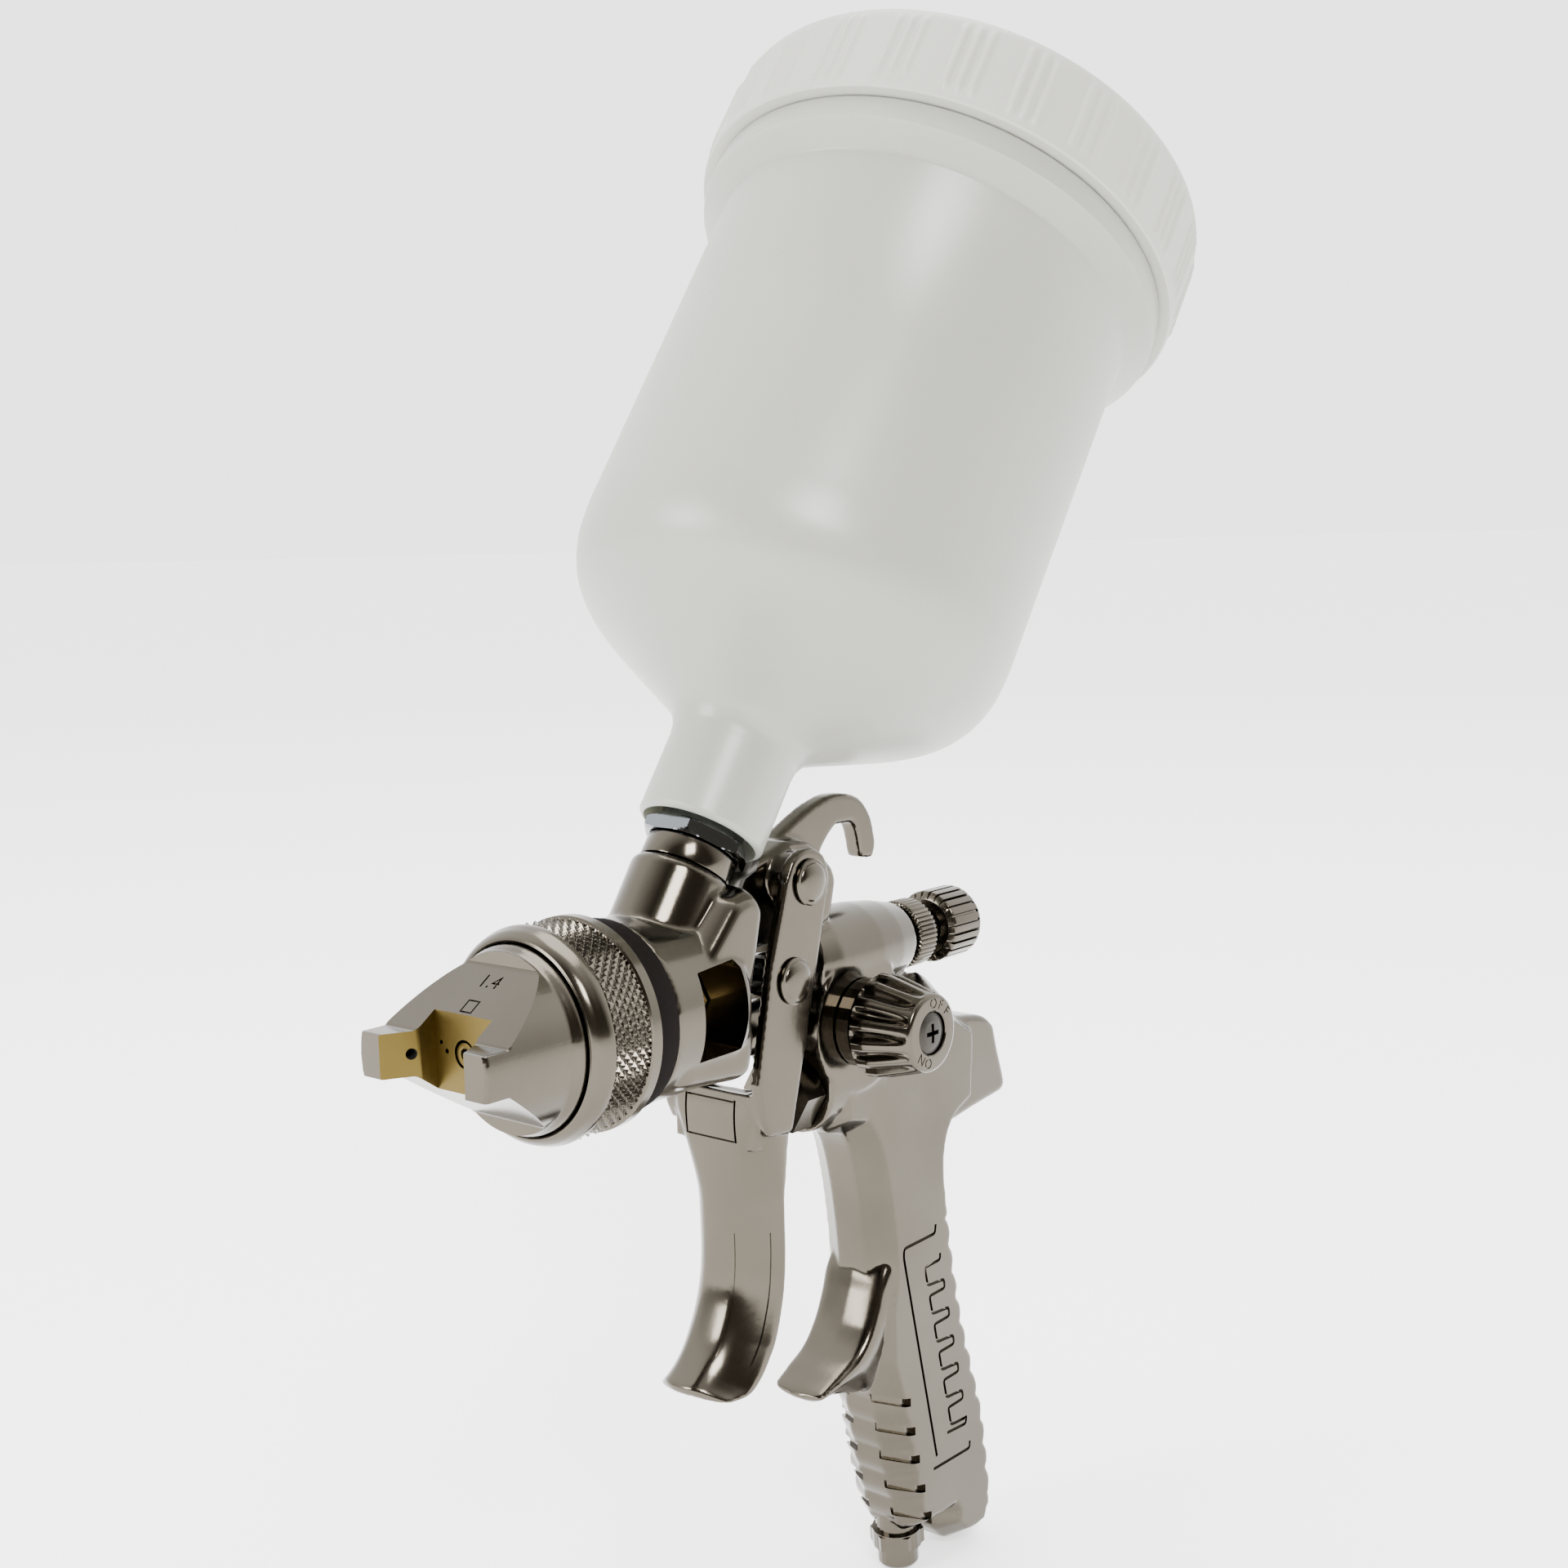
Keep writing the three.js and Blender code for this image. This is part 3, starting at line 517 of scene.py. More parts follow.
# The side pattern is a comb of six teeth inside a thin frame, with a short line below it.
TOOTH = np.array([[59.1, -72.1], [53.3, -72.2], [54.3, -76.6], [60.4, -77.0]])
TOOTH_STEP = np.array([1.62, -7.0])
meander = np.vstack([[[59.1, -70.6]], *[TOOTH + TOOTH_STEP * k for k in range(6)],
                     [[68.4, -111.6], [68.2, -113.4], [60.7, -112.9]]])
casting = cut_away(
    casting,
    groove(meander) + groove([[57.6, -63.6], [57.3, -65.6], [45.9, -65.8], [45.7, -67.8],
                              [56.8, -116.9]])
    + groove([[55.5, -119.4], [69.6, -119.7], [69.6, -118.0]]),
    [shell for crease, height in ((45.0, -99.4), (46.5, -106.5), (48.0, -113.5), (49.9, -121.0),
                                  (52.1, -128.2)) for shell in pocket(crease, height)])
add_piece("gun_body_casting", casting, "casting", SATIN_NICKEL, "gun_body",
          slot="satin_nickel", sharp=42)

# ---------------------------------------------------------------- trigger
# A cast and polished lever: two flat ears on the pivot pin, a plain crosspiece with an
# empty badge panel, and a long spoon with a brushed hollow down its back.

EAR_INNER, EAR_OUTER = 10.8, 13.0
ears = make_mesh("ears", [
    slab(outline([[18, 19.7], [16.4, 24], [12, 25.8], [8, 24.4], [5.6, 20.6]], [0.6, 5.3],
                 [-1.5, -4.7], [[-4.4, -18], [-3.4, -24], [-1.6, -28.2]], [5, -28.5], [9.2, -13.4],
                 [13.9, 3.8], spacing=0.5), EAR_OUTER, 0.6, 0.5)])
ears = cut_away(ears, [block(-20, 30, -EAR_INNER, EAR_INNER, -20.2, 40)],
                [block(-3.2, 12, -8.2, 8.2, -40, -10)])


SPOON_FRONT = [[-4.2, -20.4], [-4.7, -26], [-4.2, -36], [-3.8, -46], [-3.8, -56], [-5, -63],
               [-8.2, -69.8], [-12.4, -74.4], [-17.2, -77.9]]
SPOON_BACK = [[5.6, -20.4], [5.3, -28], [5.4, -38], [5.4, -47], [5.3, -56], [4.2, -64],
              [1, -73], [-4.8, -80.0], [-13.6, -80.3]]
SPOON_HALF = [[0, 12.7], [0.11, 12.6], [0.19, 11.6], [0.32, 10.5], [0.74, 10.5], [0.9, 9.6],
              [1, 8.2]]
PLATE_SECTION = [[0, 0], [0.3, 0.0], [0.62, 0.0], [0.72, 0.03], [0.82, 0.14], [0.93, 0.3],
                 [1.0, 0.6], [0.99, 0.97], [0.91, 0.99], [0.82, 0.8], [0.7, 0.50], [0.45, 0.44],
                 [0.2, 0.42], [0, 0.41]]
SPOON_SECTION = [[0, 0], [0.22, 0.01], [0.38, 0.05], [0.56, 0.19], [0.74, 0.42], [0.9, 0.68],
                 [1.0, 0.86], [0.99, 0.97], [0.91, 0.99], [0.82, 0.86], [0.62, 0.60], [0.4, 0.46],
                 [0.2, 0.42], [0, 0.41]]
spoon_points, spoon_faces, spoon_grid = swept(
    SPOON_FRONT, SPOON_BACK, SPOON_HALF, PLATE_SECTION, SPOON_SECTION, fade=(0.08, 0.36),
    ends=(0.02, 0.35), stations=110)


def skin_patch(grid, first, last, left, right, depth, proud=1.6):
    """A closed wedge over part of a swept bar's surface, from depth below it to proud of
    it: the grid moved along its own normals, between two stations and two places round."""
    part = grid[first:last + 1, left:right + 1]
    normal = np.cross(np.gradient(part, axis=0), np.gradient(part, axis=1))
    normal /= np.linalg.norm(normal, axis=-1)[..., None]
    outward = np.sign(np.sum(normal * (part - grid[first:last + 1].mean(axis=1, keepdims=True))))
    layers = np.stack([part - outward * normal * depth, part + outward * normal * proud])
    rows, columns = part.shape[:2]
    index = np.arange(layers[..., 0].size).reshape(2, rows, columns)
    faces = [np.stack([sheet[:-1, :-1], sheet[1:, :-1], sheet[1:, 1:], sheet[:-1, 1:]],
                      axis=-1).reshape(-1, 4) for sheet in index]
    for edge in (index[:, 0], index[:, -1], index[:, :, 0], index[:, :, -1]):
        faces.append(np.stack([edge[0, :-1], edge[0, 1:], edge[1, 1:], edge[1, :-1]], axis=-1))
    return layers.reshape(-1, 3), np.vstack(faces).tolist()


brushed = [skin_patch(spoon_grid, 45, 88, *sides, 0.45)
           for sides in ((37, 70), (spoon_grid.shape[1] - 70, spoon_grid.shape[1] - 37))]


def vectors(items, name):
    """One vector for each vertex or face of a mesh, as an array."""
    found = np.empty(len(items) * 3)
    items.foreach_get(name, found)
    return found.reshape(-1, 3)


def shell_of(mesh):
    """A mesh's points, back in millimetres, and its faces."""
    points = (vectors(mesh.vertices, "co") - NEEDLE_AXIS) * 1000
    return points, [list(face.vertices) for face in mesh.polygons]


trigger = one_skin("trigger_skin", [shell_of(ears), (spoon_points, spoon_faces),
                                    block(-3.4, -1.4, -10.4, 10.4, -31.5, -20.6)],
                   voxel=0.4, passes=4)
# The brushed hollows, the four lines of the badge frame, and the holes for pin and rivets.
trigger = cut_away(trigger, brushed,
                   [block(-6, -3.85, -6.6, -6.1, -30.2, -21.6),
                    block(-6, -3.85, 6.1, 6.6, -30.2, -21.6),
                    block(-6, -3.95, -6.05, 6.05, -30.2, -29.8),
                    block(-6, -3.85, -6.05, 6.05, -22.2, -21.8)],
                   [rod(2.9, -20, 20, across_at(PIVOT))],
                   [rod(2.6, -20, 20, across_at(YOKE))])
add_piece("trigger_lever", trigger, "trigger", SATIN_NICKEL, "trigger", slot="satin_nickel")

# ---------------------------------------------------------------- retaining ring
# A turned nut that holds the air cap: a polished bezel in front, a diamond knurl for the
# fingers, and a plain band behind it. The knurl is rolled, so its points stand proud.

KNURL_FRONT, KNURL_REAR, RING_RADIUS = -49.6, -40.8, 19.6
KNURLS_ROUND, KNURL_PITCH, KNURL_DEPTH = 62, 1.98, 0.6


def knurled(angle, height, radius):
    """Radius plus the height of a pyramid: 1 - the larger distance from the middle of a
    cell on two families of crossing spirals, inside the knurled band."""
    first = angle * KNURLS_ROUND / (2 * math.pi)
    second = height / KNURL_PITCH
    u, v = (first + second) % 1 - 0.5, (first - second) % 1 - 0.5
    point = 1 - 2 * np.maximum(abs(u), abs(v))
    inside = (height > KNURL_FRONT) & (height < KNURL_REAR) & (radius > 18.6)
    return np.where(inside, radius - KNURL_DEPTH + point, radius)


knurl_rows = [[RING_RADIUS, h] for h in np.linspace(KNURL_REAR, KNURL_FRONT, 50)]
ring_profile = np.vstack([
    [[15.8, -38.1], [19.7, -38.1], [20, -38.4], [20, -40.4], [19.5, -40.7]],
    knurl_rows, [[19.5, -49.7], [19.95, -50.0], [20, -50.4], [19.9, -51.2]],
    curve_through([[19.75, -51.6], [19.2, -53], [18.4, -53.9], [17.8, -54.15]], 5),
    [[17.55, -54.0], [17.5, -53.4], [17.5, -50.9], [18.5, -50.6], [18.5, -46.5], [15.8, -46.5]]])
add_piece("knurled_ring", [turned(ring_profile, NEEDLE, KNURLS_ROUND * 8, knurled)], "ring",
          SATIN_NICKEL, "retaining_ring", slot="satin_nickel", sharp=24)

# ---------------------------------------------------------------- air cap
# A forged and machined cap: a domed face with a milled flat above and below, and two
# horns whose inner faces are bare brass, drilled with the side jets.

BRASS = finish("brass", (0.075, 0.052, 0.013), (0.135, 0.098, 0.03), (0.28, 0.42), clouds=60)
# This near-black matte finish is painted shade for the walls of the drilled side jets, which are
# metal.
JET_WALL_SHADE = finish("painted_jet_shade", (0.004, 0.004, 0.004), (0.012, 0.01, 0.008), (0.5, 0.7), metallic=0.0)
HORN_TIP, HORN_HALF, NOZZLE_TIP = -76.3, 4, -66.6
dome = turned([[0, -68.6], [6.2, -68.6], [10.4, -65], [14.6, -59], [16.4, -56.6], [17.0, -55.4],
               [17.2, -54.8], [17.2, -50.5], [0, -50.5]], NEEDLE, 96)
horns = cut_away(
    make_mesh("horns", [turned([[0, HORN_TIP], [15.9, HORN_TIP], [16.4, HORN_TIP + 0.5],
                                [16.4, -52], [0, -52]], NEEDLE, 96)]),
    [block(-90, -40, -30, 30, HORN_HALF, 30), block(-90, -40, -30, 30, -30, -HORN_HALF)])
collar = turned([[0, -70.6], [16.4, -70.6], [16.4, -52], [0, -52]], NEEDLE, 96)
cap = one_skin("cap_skin", [dome, shell_of(horns), collar], 0.3, 1)
facet = [[-90, 4.0], [-71.0, 4.0], [-57.2, 13.6], [-56.6, 40], [-90, 40]]
cap = cut_away(cap, [slab(outline(*facet), 30)],
               [slab(outline(*[[x, -z] for x, z in facet]), 30)])
throat = np.array([[HORN_TIP - 1, 11.4], [-70, 7.4], [NOZZLE_TIP, 7.4], [NOZZLE_TIP, -7.4],
                   [-70, -7.4], [HORN_TIP - 1, -11.4]])
throat_points, throat_faces = slab(throat, 9)
cap = cut_away(
    cap, [(throat_points[:, [0, 2, 1]], throat_faces)],
    [turned([[0, -64.8], [5, -64.8], [14.8, -53], [14.8, -48], [0, -48]], NEEDLE, 60)],
    [rod(2.6, -72, -60, NEEDLE)])
JET_START, JET_SLANT, JET_REACH, JET_RADIUS = -73.6, 0.25, 0.968, 1.0
jets = [rod(JET_RADIUS, 6, 14.6, axis_at([JET_START, 0, 0], [JET_SLANT, side * JET_REACH, 0],
                                         [0, 0, 1])) for side in (-1, 1)]
pilot_holes = [rod(radius, -72, -60, axis_at([0, side * y, z], [1, 0, 0], [0, 0, 1]), 20)
               for radius, y, z in ((0.45, 4.6, 0), (0.4, 6.0, 1.4)) for side in (-1, 1)]
cap = cut_away(cap, jets, pilot_holes)


def lettering(text, size, depth, place, across, up):
    """Plain lettering as a closed solid, laid on a plane by its across and up directions."""
    font = bpy.data.curves.new("lettering", "FONT")
    font.body, font.size, font.extrude = text, size, depth
    font.align_x, font.align_y = "CENTER", "CENTER"
    font.resolution_u = 3
    holder = bpy.data.objects.new("lettering", font)
    scene.collection.objects.link(holder)
    graph = bpy.context.evaluated_depsgraph_get()
    flat = bpy.data.meshes.new_from_object(holder.evaluated_get(graph), depsgraph=graph)
    bpy.data.objects.remove(holder)
    points = vectors(flat.vertices, "co")
    across, up = np.asarray(across, float), np.asarray(up, float)
    points = (np.asarray(place, float) + points[:, :1] * across + points[:, 1:2] * up
              + points[:, 2:] * np.cross(across, up))
    return points, [list(face.vertices) for face in flat.polygons]


FACET_SLOPE = math.atan2(9.6, 13.8)
facet_up = [math.cos(FACET_SLOPE), 0, math.sin(FACET_SLOPE)]
facet_at = [-60.2, 0, 11.51]
square_at = np.array([-65.0, 0, 8.17])


def on_facet(points, centre):
    """Points given as up, across and out of the cap's upper facet, put in place."""
    points = np.asarray(points, float)
    out = np.array([-facet_up[2], 0, facet_up[0]])
    return (np.asarray(centre, float) + points[:, :1] * np.array(facet_up)
            + points[:, 1:2] * np.array([0, 1, 0]) + points[:, 2:] * out)


bars = []
for x0, x1, y0, y1 in ((-1.5, 1.5, -1.5, -1.15), (-1.5, 1.5, 1.15, 1.5), (-1.5, -1.15, -1.1, 1.1),
                       (1.15, 1.5, -1.1, 1.1)):
    corners, faces = block(x0, x1, y0, y1, -0.3, 0.3)
    bars.append((on_facet(corners, square_at), faces))
cap = cut_away(cap, [lettering("1.4", 4.2, 0.3, facet_at, [0, -1, 0], facet_up)], bars)
add_piece("air_cap_body", cap, "air_cap", SATIN_NICKEL, "air_cap", slot="satin_nickel", sharp=35)

# The faces of the throat are bare brass; the walls of the side jets get a near-black finish that
# paints the shade inside the holes.
cap.materials.append(BRASS)
cap.materials.append(JET_WALL_SHADE)
along, off, up = ((vectors(cap.polygons, "center") - NEEDLE_AXIS) * 1000).T
throat_half = np.interp(along, [-77.3, -70, -66.4], [11.6, 7.55, 7.55])
bare = (abs(off) < throat_half) & (along < -66.3)
bare &= abs(vectors(cap.polygons, "normal")[:, 2]) < 0.8
from_jet = np.hypot(along - JET_START - abs(off) * JET_SLANT / JET_REACH, up)
# Faces on the walls of the side jets take the painted shade finish.
jet_shade_faces = (from_jet < JET_RADIUS + 0.06) & (abs(off) > 9.6) & (abs(off) < 15)
cap.polygons.foreach_set("material_index", np.where(jet_shade_faces, 2, bare).astype(np.int32))

add_piece("fluid_nozzle_body", [turned(rounded([
    [1.9, -27.4], [7.2, -27.4], [7.2, -46], [5.6, -47], [5.6, -56], [3, -61], [2.1, -64],
    [2.1, NOZZLE_TIP], [1.1, NOZZLE_TIP], [1.1, -65.4], [1.9, -63]], 0.15), NEEDLE, 60)], "casting",
    BRASS, "fluid_nozzle", slot="brass")

# ---------------------------------------------------------------- fan control knob
# A tapered knob with deep flutes, held by a cross-headed screw in its dished face.

FAN_AXIS = across_at(FAN)
BRIGHT_STEEL = finish("bright_steel", (0.12, 0.128, 0.138), (0.20, 0.212, 0.225), (0.08, 0.18))
FLUTES, FLUTE_FOOT, FLUTE_HEAD = 14, 15.4, 27.2
KNOB_FOOT, KNOB_BROW, KNOB_FACE = 15.2, 27.1, 28.0


def fluted(angle, height, radius):
    """Radius less a scallop, cos squared of the flute angle, deepest half way along."""
    along = np.clip((height - FLUTE_FOOT) / (FLUTE_HEAD - FLUTE_FOOT), 0, 1)
    depth = 1.5 * np.sin(math.pi * np.clip(along * 0.72 + 0.28, 0, 1)) ** 0.8
    depth = np.where((height < KNOB_FOOT) | (radius < 6.6), 0, depth)
    return radius - depth * np.cos(angle * FLUTES / 2) ** 4


knob_height = np.linspace(KNOB_FOOT, KNOB_BROW, 26)
knob_side = np.column_stack([
    np.interp(knob_height, [KNOB_FOOT, 17.6, KNOB_BROW], [10.8, 10.6, 8.1]), knob_height])
knob_profile = np.vstack([
    [[2.3, 14.8], [10.4, 14.8]], knob_side,
    curve_through([[8.05, 27.3], [7.8, 27.7], [7.3, 27.95], [6.9, KNOB_FACE]], 4),
    [[4.7, KNOB_FACE], [4.5, 27.8], [4.5, 26.4], [1.9, 25.8], [1.9, 18.6], [2.3, 18.2]]])
knob = make_mesh("knob", [turned(knob_profile, FAN_AXIS, FLUTES * 16, fluted)])


def round_the_face(letters, radius, middle, spread, size):
    """Letters one by one round the knob's face, each turned square to its radius."""
    shells = []
    for k, letter in enumerate(letters):
        angle = middle - (k - (len(letters) - 1) / 2) * spread
        out = np.array([math.cos(angle), 0, math.sin(angle)])
        place = np.array([FAN[0], -KNOB_FACE, FAN[1]]) + radius * out
        shells.append(lettering(letter, size, 0.22, place, [out[2], 0, -out[0]], out))
    return shells


knob = cut_away(knob, round_the_face("OFF", 6.0, math.radians(62), 0.43, 3.0)
                + round_the_face("ON", 6.0, math.radians(-118), 0.43, 3.0))
add_piece("fan_knob_body", knob, "fan_knob", SATIN_NICKEL, "fan_knob", slot="satin_nickel",
          sharp=30)

SCREW_STEEL = finish("screw_steel", (0.026, 0.024, 0.020), (0.05, 0.046, 0.040), (0.3, 0.42))
screw = make_mesh("screw", [turned(rounded([
    [0, 19], [1.6, 19], [1.6, 26.2], [4.2, 26.8], [4.2, 27.55], [2.6, 27.95], [0, 28.1]], 0.12),
    FAN_AXIS, 48)])
screw = cut_away(screw, *[[block(FAN[0] - wide, FAN[0] + wide, -29, -26.2,
                                 FAN[1] - tall, FAN[1] + tall)]
                          for wide, tall in ((2, 0.45), (0.45, 2))])
add_piece("fan_knob_screw_head", screw, "fan_knob", SCREW_STEEL, "fan_knob_screw",
          slot="steel", sharp=30)

# ---------------------------------------------------------------- fluid controls
# At the rear a finely knurled lock nut and the fluid knob with straight grooves, both
# turned from bar and plated.


def straight_grooves(count, depth, share):
    """Radius less a narrow groove repeated round the knob: full depth where the saw-tooth
    of the angle is within share of a groove's middle."""
    def cut(angle, height, radius):
        saw = abs((angle * count / (2 * math.pi)) % 1 - 0.5)
        groove = np.clip((share - saw) / (share * 0.35), 0, 1)
        return radius - np.where(radius > 6.7, depth * groove, 0)
    return cut


fluid_rows = rounded([[0, 68.2], [6.3, 68.2], [7.9, 69.0], [8, 69.4], [8, 78.4], [6.8, 80.3],
                      [6.2, 80.6], [0, 80.6]], 0.2)
FLUID_GROOVES, NUT_GROOVES = 24, 44
add_piece("fluid_knob_body", [turned(fluid_rows, NEEDLE, FLUID_GROOVES * 12,
                                     straight_grooves(FLUID_GROOVES, 0.7, 0.13))], "fluid_knob",
          SATIN_NICKEL, "fluid_knob", slot="satin_nickel", sharp=30)
nut_rows = rounded([[4.6, 56.8], [7.0, 56.8], [7.5, 57.2], [7.5, 62.6], [7.1, 63], [4.6, 63]], 0.15)
add_piece("lock_nut_body", [turned(nut_rows, NEEDLE, NUT_GROOVES * 6,
                                   straight_grooves(NUT_GROOVES, 0.35, 0.2))], "lock_nut",
          SATIN_NICKEL, "lock_nut", slot="satin_nickel", sharp=30)
add_piece("fluid_spindle_body", [turned(rounded([[0, 52.2], [4.2, 52.2], [4.2, 67.8], [0, 67.8]]),
                                        NEEDLE, 48)], "fluid_screw", SATIN_NICKEL,
          "fluid_spindle", slot="satin_nickel")
add_piece("rear_bushing_body", [turned(rounded([
    [4.6, 53], [5.3, 53], [5.3, 54.9], [6.4, 54.9], [6.4, 56.4], [4.6, 56.4]], 0.15), NEEDLE, 60)],
    "casting", SATIN_NICKEL, "rear_bushing", slot="satin_nickel")

# ---------------------------------------------------------------- pivot pin and yoke rivets
# Shouldered pins with low domed heads, closed over the outside of the trigger's ears.


def domed_head(face):
    """A head's profile from its rim out to its crown: a shoulder, a groove and a dome."""
    return [[4.65, face], [4.65, face + 0.35], [4.4, face + 0.55], [4.0, face + 0.6],
            *[[3.9 * math.cos(t), face + 0.55 + 0.95 * math.sin(t)]
              for t in np.linspace(0.1, math.pi / 2, 9)[:-1]], [0, face + 1.5]]


HEAD_FACE = EAR_OUTER + 0.3
other_head = [[r, -h] for r, h in domed_head(HEAD_FACE)[::-1]]
pin_profile = other_head + [[2.5, -HEAD_FACE], [2.5, HEAD_FACE]] + domed_head(HEAD_FACE)
add_piece("pivot_pin_body", [turned(pin_profile, across_at(PIVOT), 60)], "casting", SATIN_NICKEL,
          "pivot_pin", slot="satin_nickel", sharp=30)
for side, direction in (("left", -1), ("right", 1)):
    rivet_axis = axis_at([YOKE[0], 0, YOKE[1]], [0, direction, 0], [0, 0, 1])
    rivet_profile = [[0, 5.4], [1.4, 5.4], [1.4, 10.8], [2.3, 10.8], [2.3, HEAD_FACE]]
    add_piece(f"yoke_rivet_{side}_body", [turned(rivet_profile + domed_head(HEAD_FACE),
                                                 rivet_axis, 60)],
              "trigger", SATIN_NICKEL, f"yoke_rivet_{side}", slot="satin_nickel", sharp=30)

# ---------------------------------------------------------------- seal, sleeve and adapter
# A moulded black seal behind the ring; over it the cup stands on a plated sleeve and a
# bright steel adapter with a hexagon for the wrench.

BLACK_SEAL = finish("black_seal", (0.004, 0.003, 0.0027), (0.007, 0.0055, 0.005), (0.7, 0.85),
                    metallic=0.0, bump=0.15, Specular_IOR_Level=0.03)
add_piece("head_seal_body", [turned(rounded([
    [15.8, -31.9], [18.2, -31.9], [19.3, -37.8], [15.8, -37.8]], 0.2), NEEDLE, 110)], "casting",
    BLACK_SEAL, "head_seal", slot="black_seal")
add_piece("inlet_sleeve_body", [turned(rounded([
    [4.2, 20.4], [7.3, 20.4], [7.3, 28.9], [9.1, 28.9], [9.1, 33.2], [6.4, 33.2], [6.4, 24],
    [4.2, 24]], 0.18), CUP, 80)], "casting", SATIN_NICKEL, "inlet_sleeve", slot="satin_nickel")


def six_flats(flats, start, end):
    """Radius of a hexagon, flats / 2 / cos of the angle from the middle of a flat, with
    its corners turned down near both faces."""
    def shape(angle, height, radius):
        from_flat = (angle + math.pi / 6) % (math.pi / 3) - math.pi / 6
        hexagon = flats / 2 / np.cos(from_flat)
        edge = np.minimum(abs(height - start), abs(end - height))
        turned_down = flats / 2 + 0.25 + edge * 1.9
        return np.where(radius > flats / 2 - 0.01, np.minimum(hexagon, turned_down), radius)
    return shape


ACROSS_FLATS, HEX_LOW, HEX_HIGH = 19, 33.5, 36.6
hex_rows = np.vstack([[[4.6, 24.4], [6.1, 24.4], [6.1, HEX_LOW], [9.3, HEX_LOW]],
                      [[9.6, h] for h in np.linspace(HEX_LOW, HEX_HIGH, 15)],
                      [[9.3, HEX_HIGH], [8.5, HEX_HIGH], [8.5, 49], [4.6, 49]]])
add_piece("cup_adapter_body", [turned(hex_rows, CUP, 6 * 24,
                                      six_flats(ACROSS_FLATS, HEX_LOW, HEX_HIGH))], "cup",
          BRIGHT_STEEL, "cup_adapter", slot="steel", sharp=28)

# ---------------------------------------------------------------- cup and lid
# A blow-moulded cup of milky plastic, drawn in to a neck, and a white screw lid with ribs
# in groups of three.

CUP_PLASTIC = finish("cup_plastic", (0.28, 0.283, 0.252), (0.32, 0.322, 0.29), (0.30, 0.38),
                     metallic=0.0, clouds=14, grain=400, bump=0.03, Subsurface_Weight=0.3,
                     Subsurface_Scale=0.006, Subsurface_Radius=(1.0, 1.0, 0.9))
LID_PLASTIC = finish("lid_plastic", (0.36, 0.362, 0.325), (0.41, 0.412, 0.37), (0.38, 0.46),
                     metallic=0.0, clouds=18, grain=500, bump=0.04)
CUP_RADIUS, CUP_WALL = 45.6, 1.8
SHOULDER = [[12.7, 54.0], [13.4, 57.2], [16.2, 60.6], [27, 67.4], [37.6, 74.2], [42.4, 79],
            [44.8, 84.6], [45.55, 90.5], [45.6, 96]]
outside = curve_through(SHOULDER, 8)
inside = np.column_stack([outside[:, 0] - 1.5, outside[:, 1] + 1.5])[::-1]
cup_profile = np.vstack([
    rounded([[8.8, 37], [11.9, 37], [12.7, 37.8], [12.7, 40]], 0.3)[3:-3], outside,
    [[CUP_RADIUS, 130], [CUP_RADIUS, 166.5]],
    curve_through([[45.9, 167.0], [50.2, 170.4], [50.6, 171.2], [50.6, 175.4], [50.2, 176]], 4),
    [[48.2, 176.4], [48.2, 190.8], [47.9, 191], [46.5, 191], [46.2, 190.8], [46.2, 176],
     [CUP_RADIUS - CUP_WALL, 168], [CUP_RADIUS - CUP_WALL, 130]], inside[:-3],
    [[11, 55], [11, 50], [8.8, 49.6]]])
add_piece("cup_body", [turned(cup_profile, CUP, 160)], "cup", CUP_PLASTIC, "cup",
          slot="cup_plastic", sharp=35)

LID_RADIUS, RIB_GROUPS, RIB_HEIGHT = 53.6, 24, 0.6


def ribbed(angle, height, radius):
    """Radius plus three low ribs, each a raised cosine, in each group round the skirt."""
    turn = (angle * RIB_GROUPS / (2 * math.pi)) % 1
    rib = sum(np.clip(np.cos((turn - place) * 2 * math.pi * 3.4), 0, 1) * (abs(turn - place) < 0.09)
              for place in (0.14, 0.34, 0.54))
    along = np.clip((height - 178.4) / 1.0, 0, 1) * np.clip((195.2 - height) / 1.5, 0, 1)
    return np.where(radius > 52, radius + RIB_HEIGHT * rib * along, radius)


lid_rows = np.vstack([
    [[48.8, 176.6], [49.2, 176.3], [52.6, 176.3], [53.0, 176.7]],
    [[LID_RADIUS - RIB_HEIGHT, h] for h in np.linspace(177.0, 195.2, 20)],
    curve_through([[52.8, 196.0], [52.3, 196.8], [51.2, 197.5], [49.8, 197.8]], 4),
    [[46, 197.8], [45.4, 197.2], [6, 197.2], [2.9, 197.2], [2.9, 192.9], [46, 192.9], [46, 191.3],
     [48.8, 191.3]]])
add_piece("lid_body", [turned(lid_rows, CUP, RIB_GROUPS * 30, ribbed)], "lid", LID_PLASTIC, "lid",
          slot="lid_plastic", sharp=35)
add_piece("vent_plug_body", [turned(rounded([
    [0, 191.6], [2.4, 191.6], [2.4, 198.1], [5, 198.1], [5, 199.3], [4.2, 199.9], [0, 199.9]], 0.2),
    CUP, 48)], "lid", LID_PLASTIC, "vent_plug", slot="lid_plastic")

# ---------------------------------------------------------------- springs
# Two compression springs of round wire, behind the needle and behind the air valve, each a fixed
# coil that is not tied to any moving body.

SPRING_STEEL = finish("spring_steel", (0.12, 0.12, 0.125), (0.2, 0.2, 0.205), (0.25, 0.4))


def coil(radius, wire, start, end, turns, axis, stations=40, around=10):
    """A wire on a helix: its middle goes round at one radius while its height grows evenly,
    and each station is a circle in the plane of the axis and the radius."""
    base, direction, across, side = axis
    t = np.linspace(0, 1, turns * stations)[:, None]
    angle = 2 * math.pi * turns * t
    outward = np.cos(angle) * across + np.sin(angle) * side
    middle = base + (start + (end - start) * t) * direction + radius * outward
    turn = np.linspace(0, 2 * math.pi, around, endpoint=False)
    points = (middle[:, None] + wire * (np.cos(turn)[None, :, None] * outward[:, None]
                                        + np.sin(turn)[None, :, None] * direction))
    return points.reshape(-1, 3), tube_faces(len(points), around)


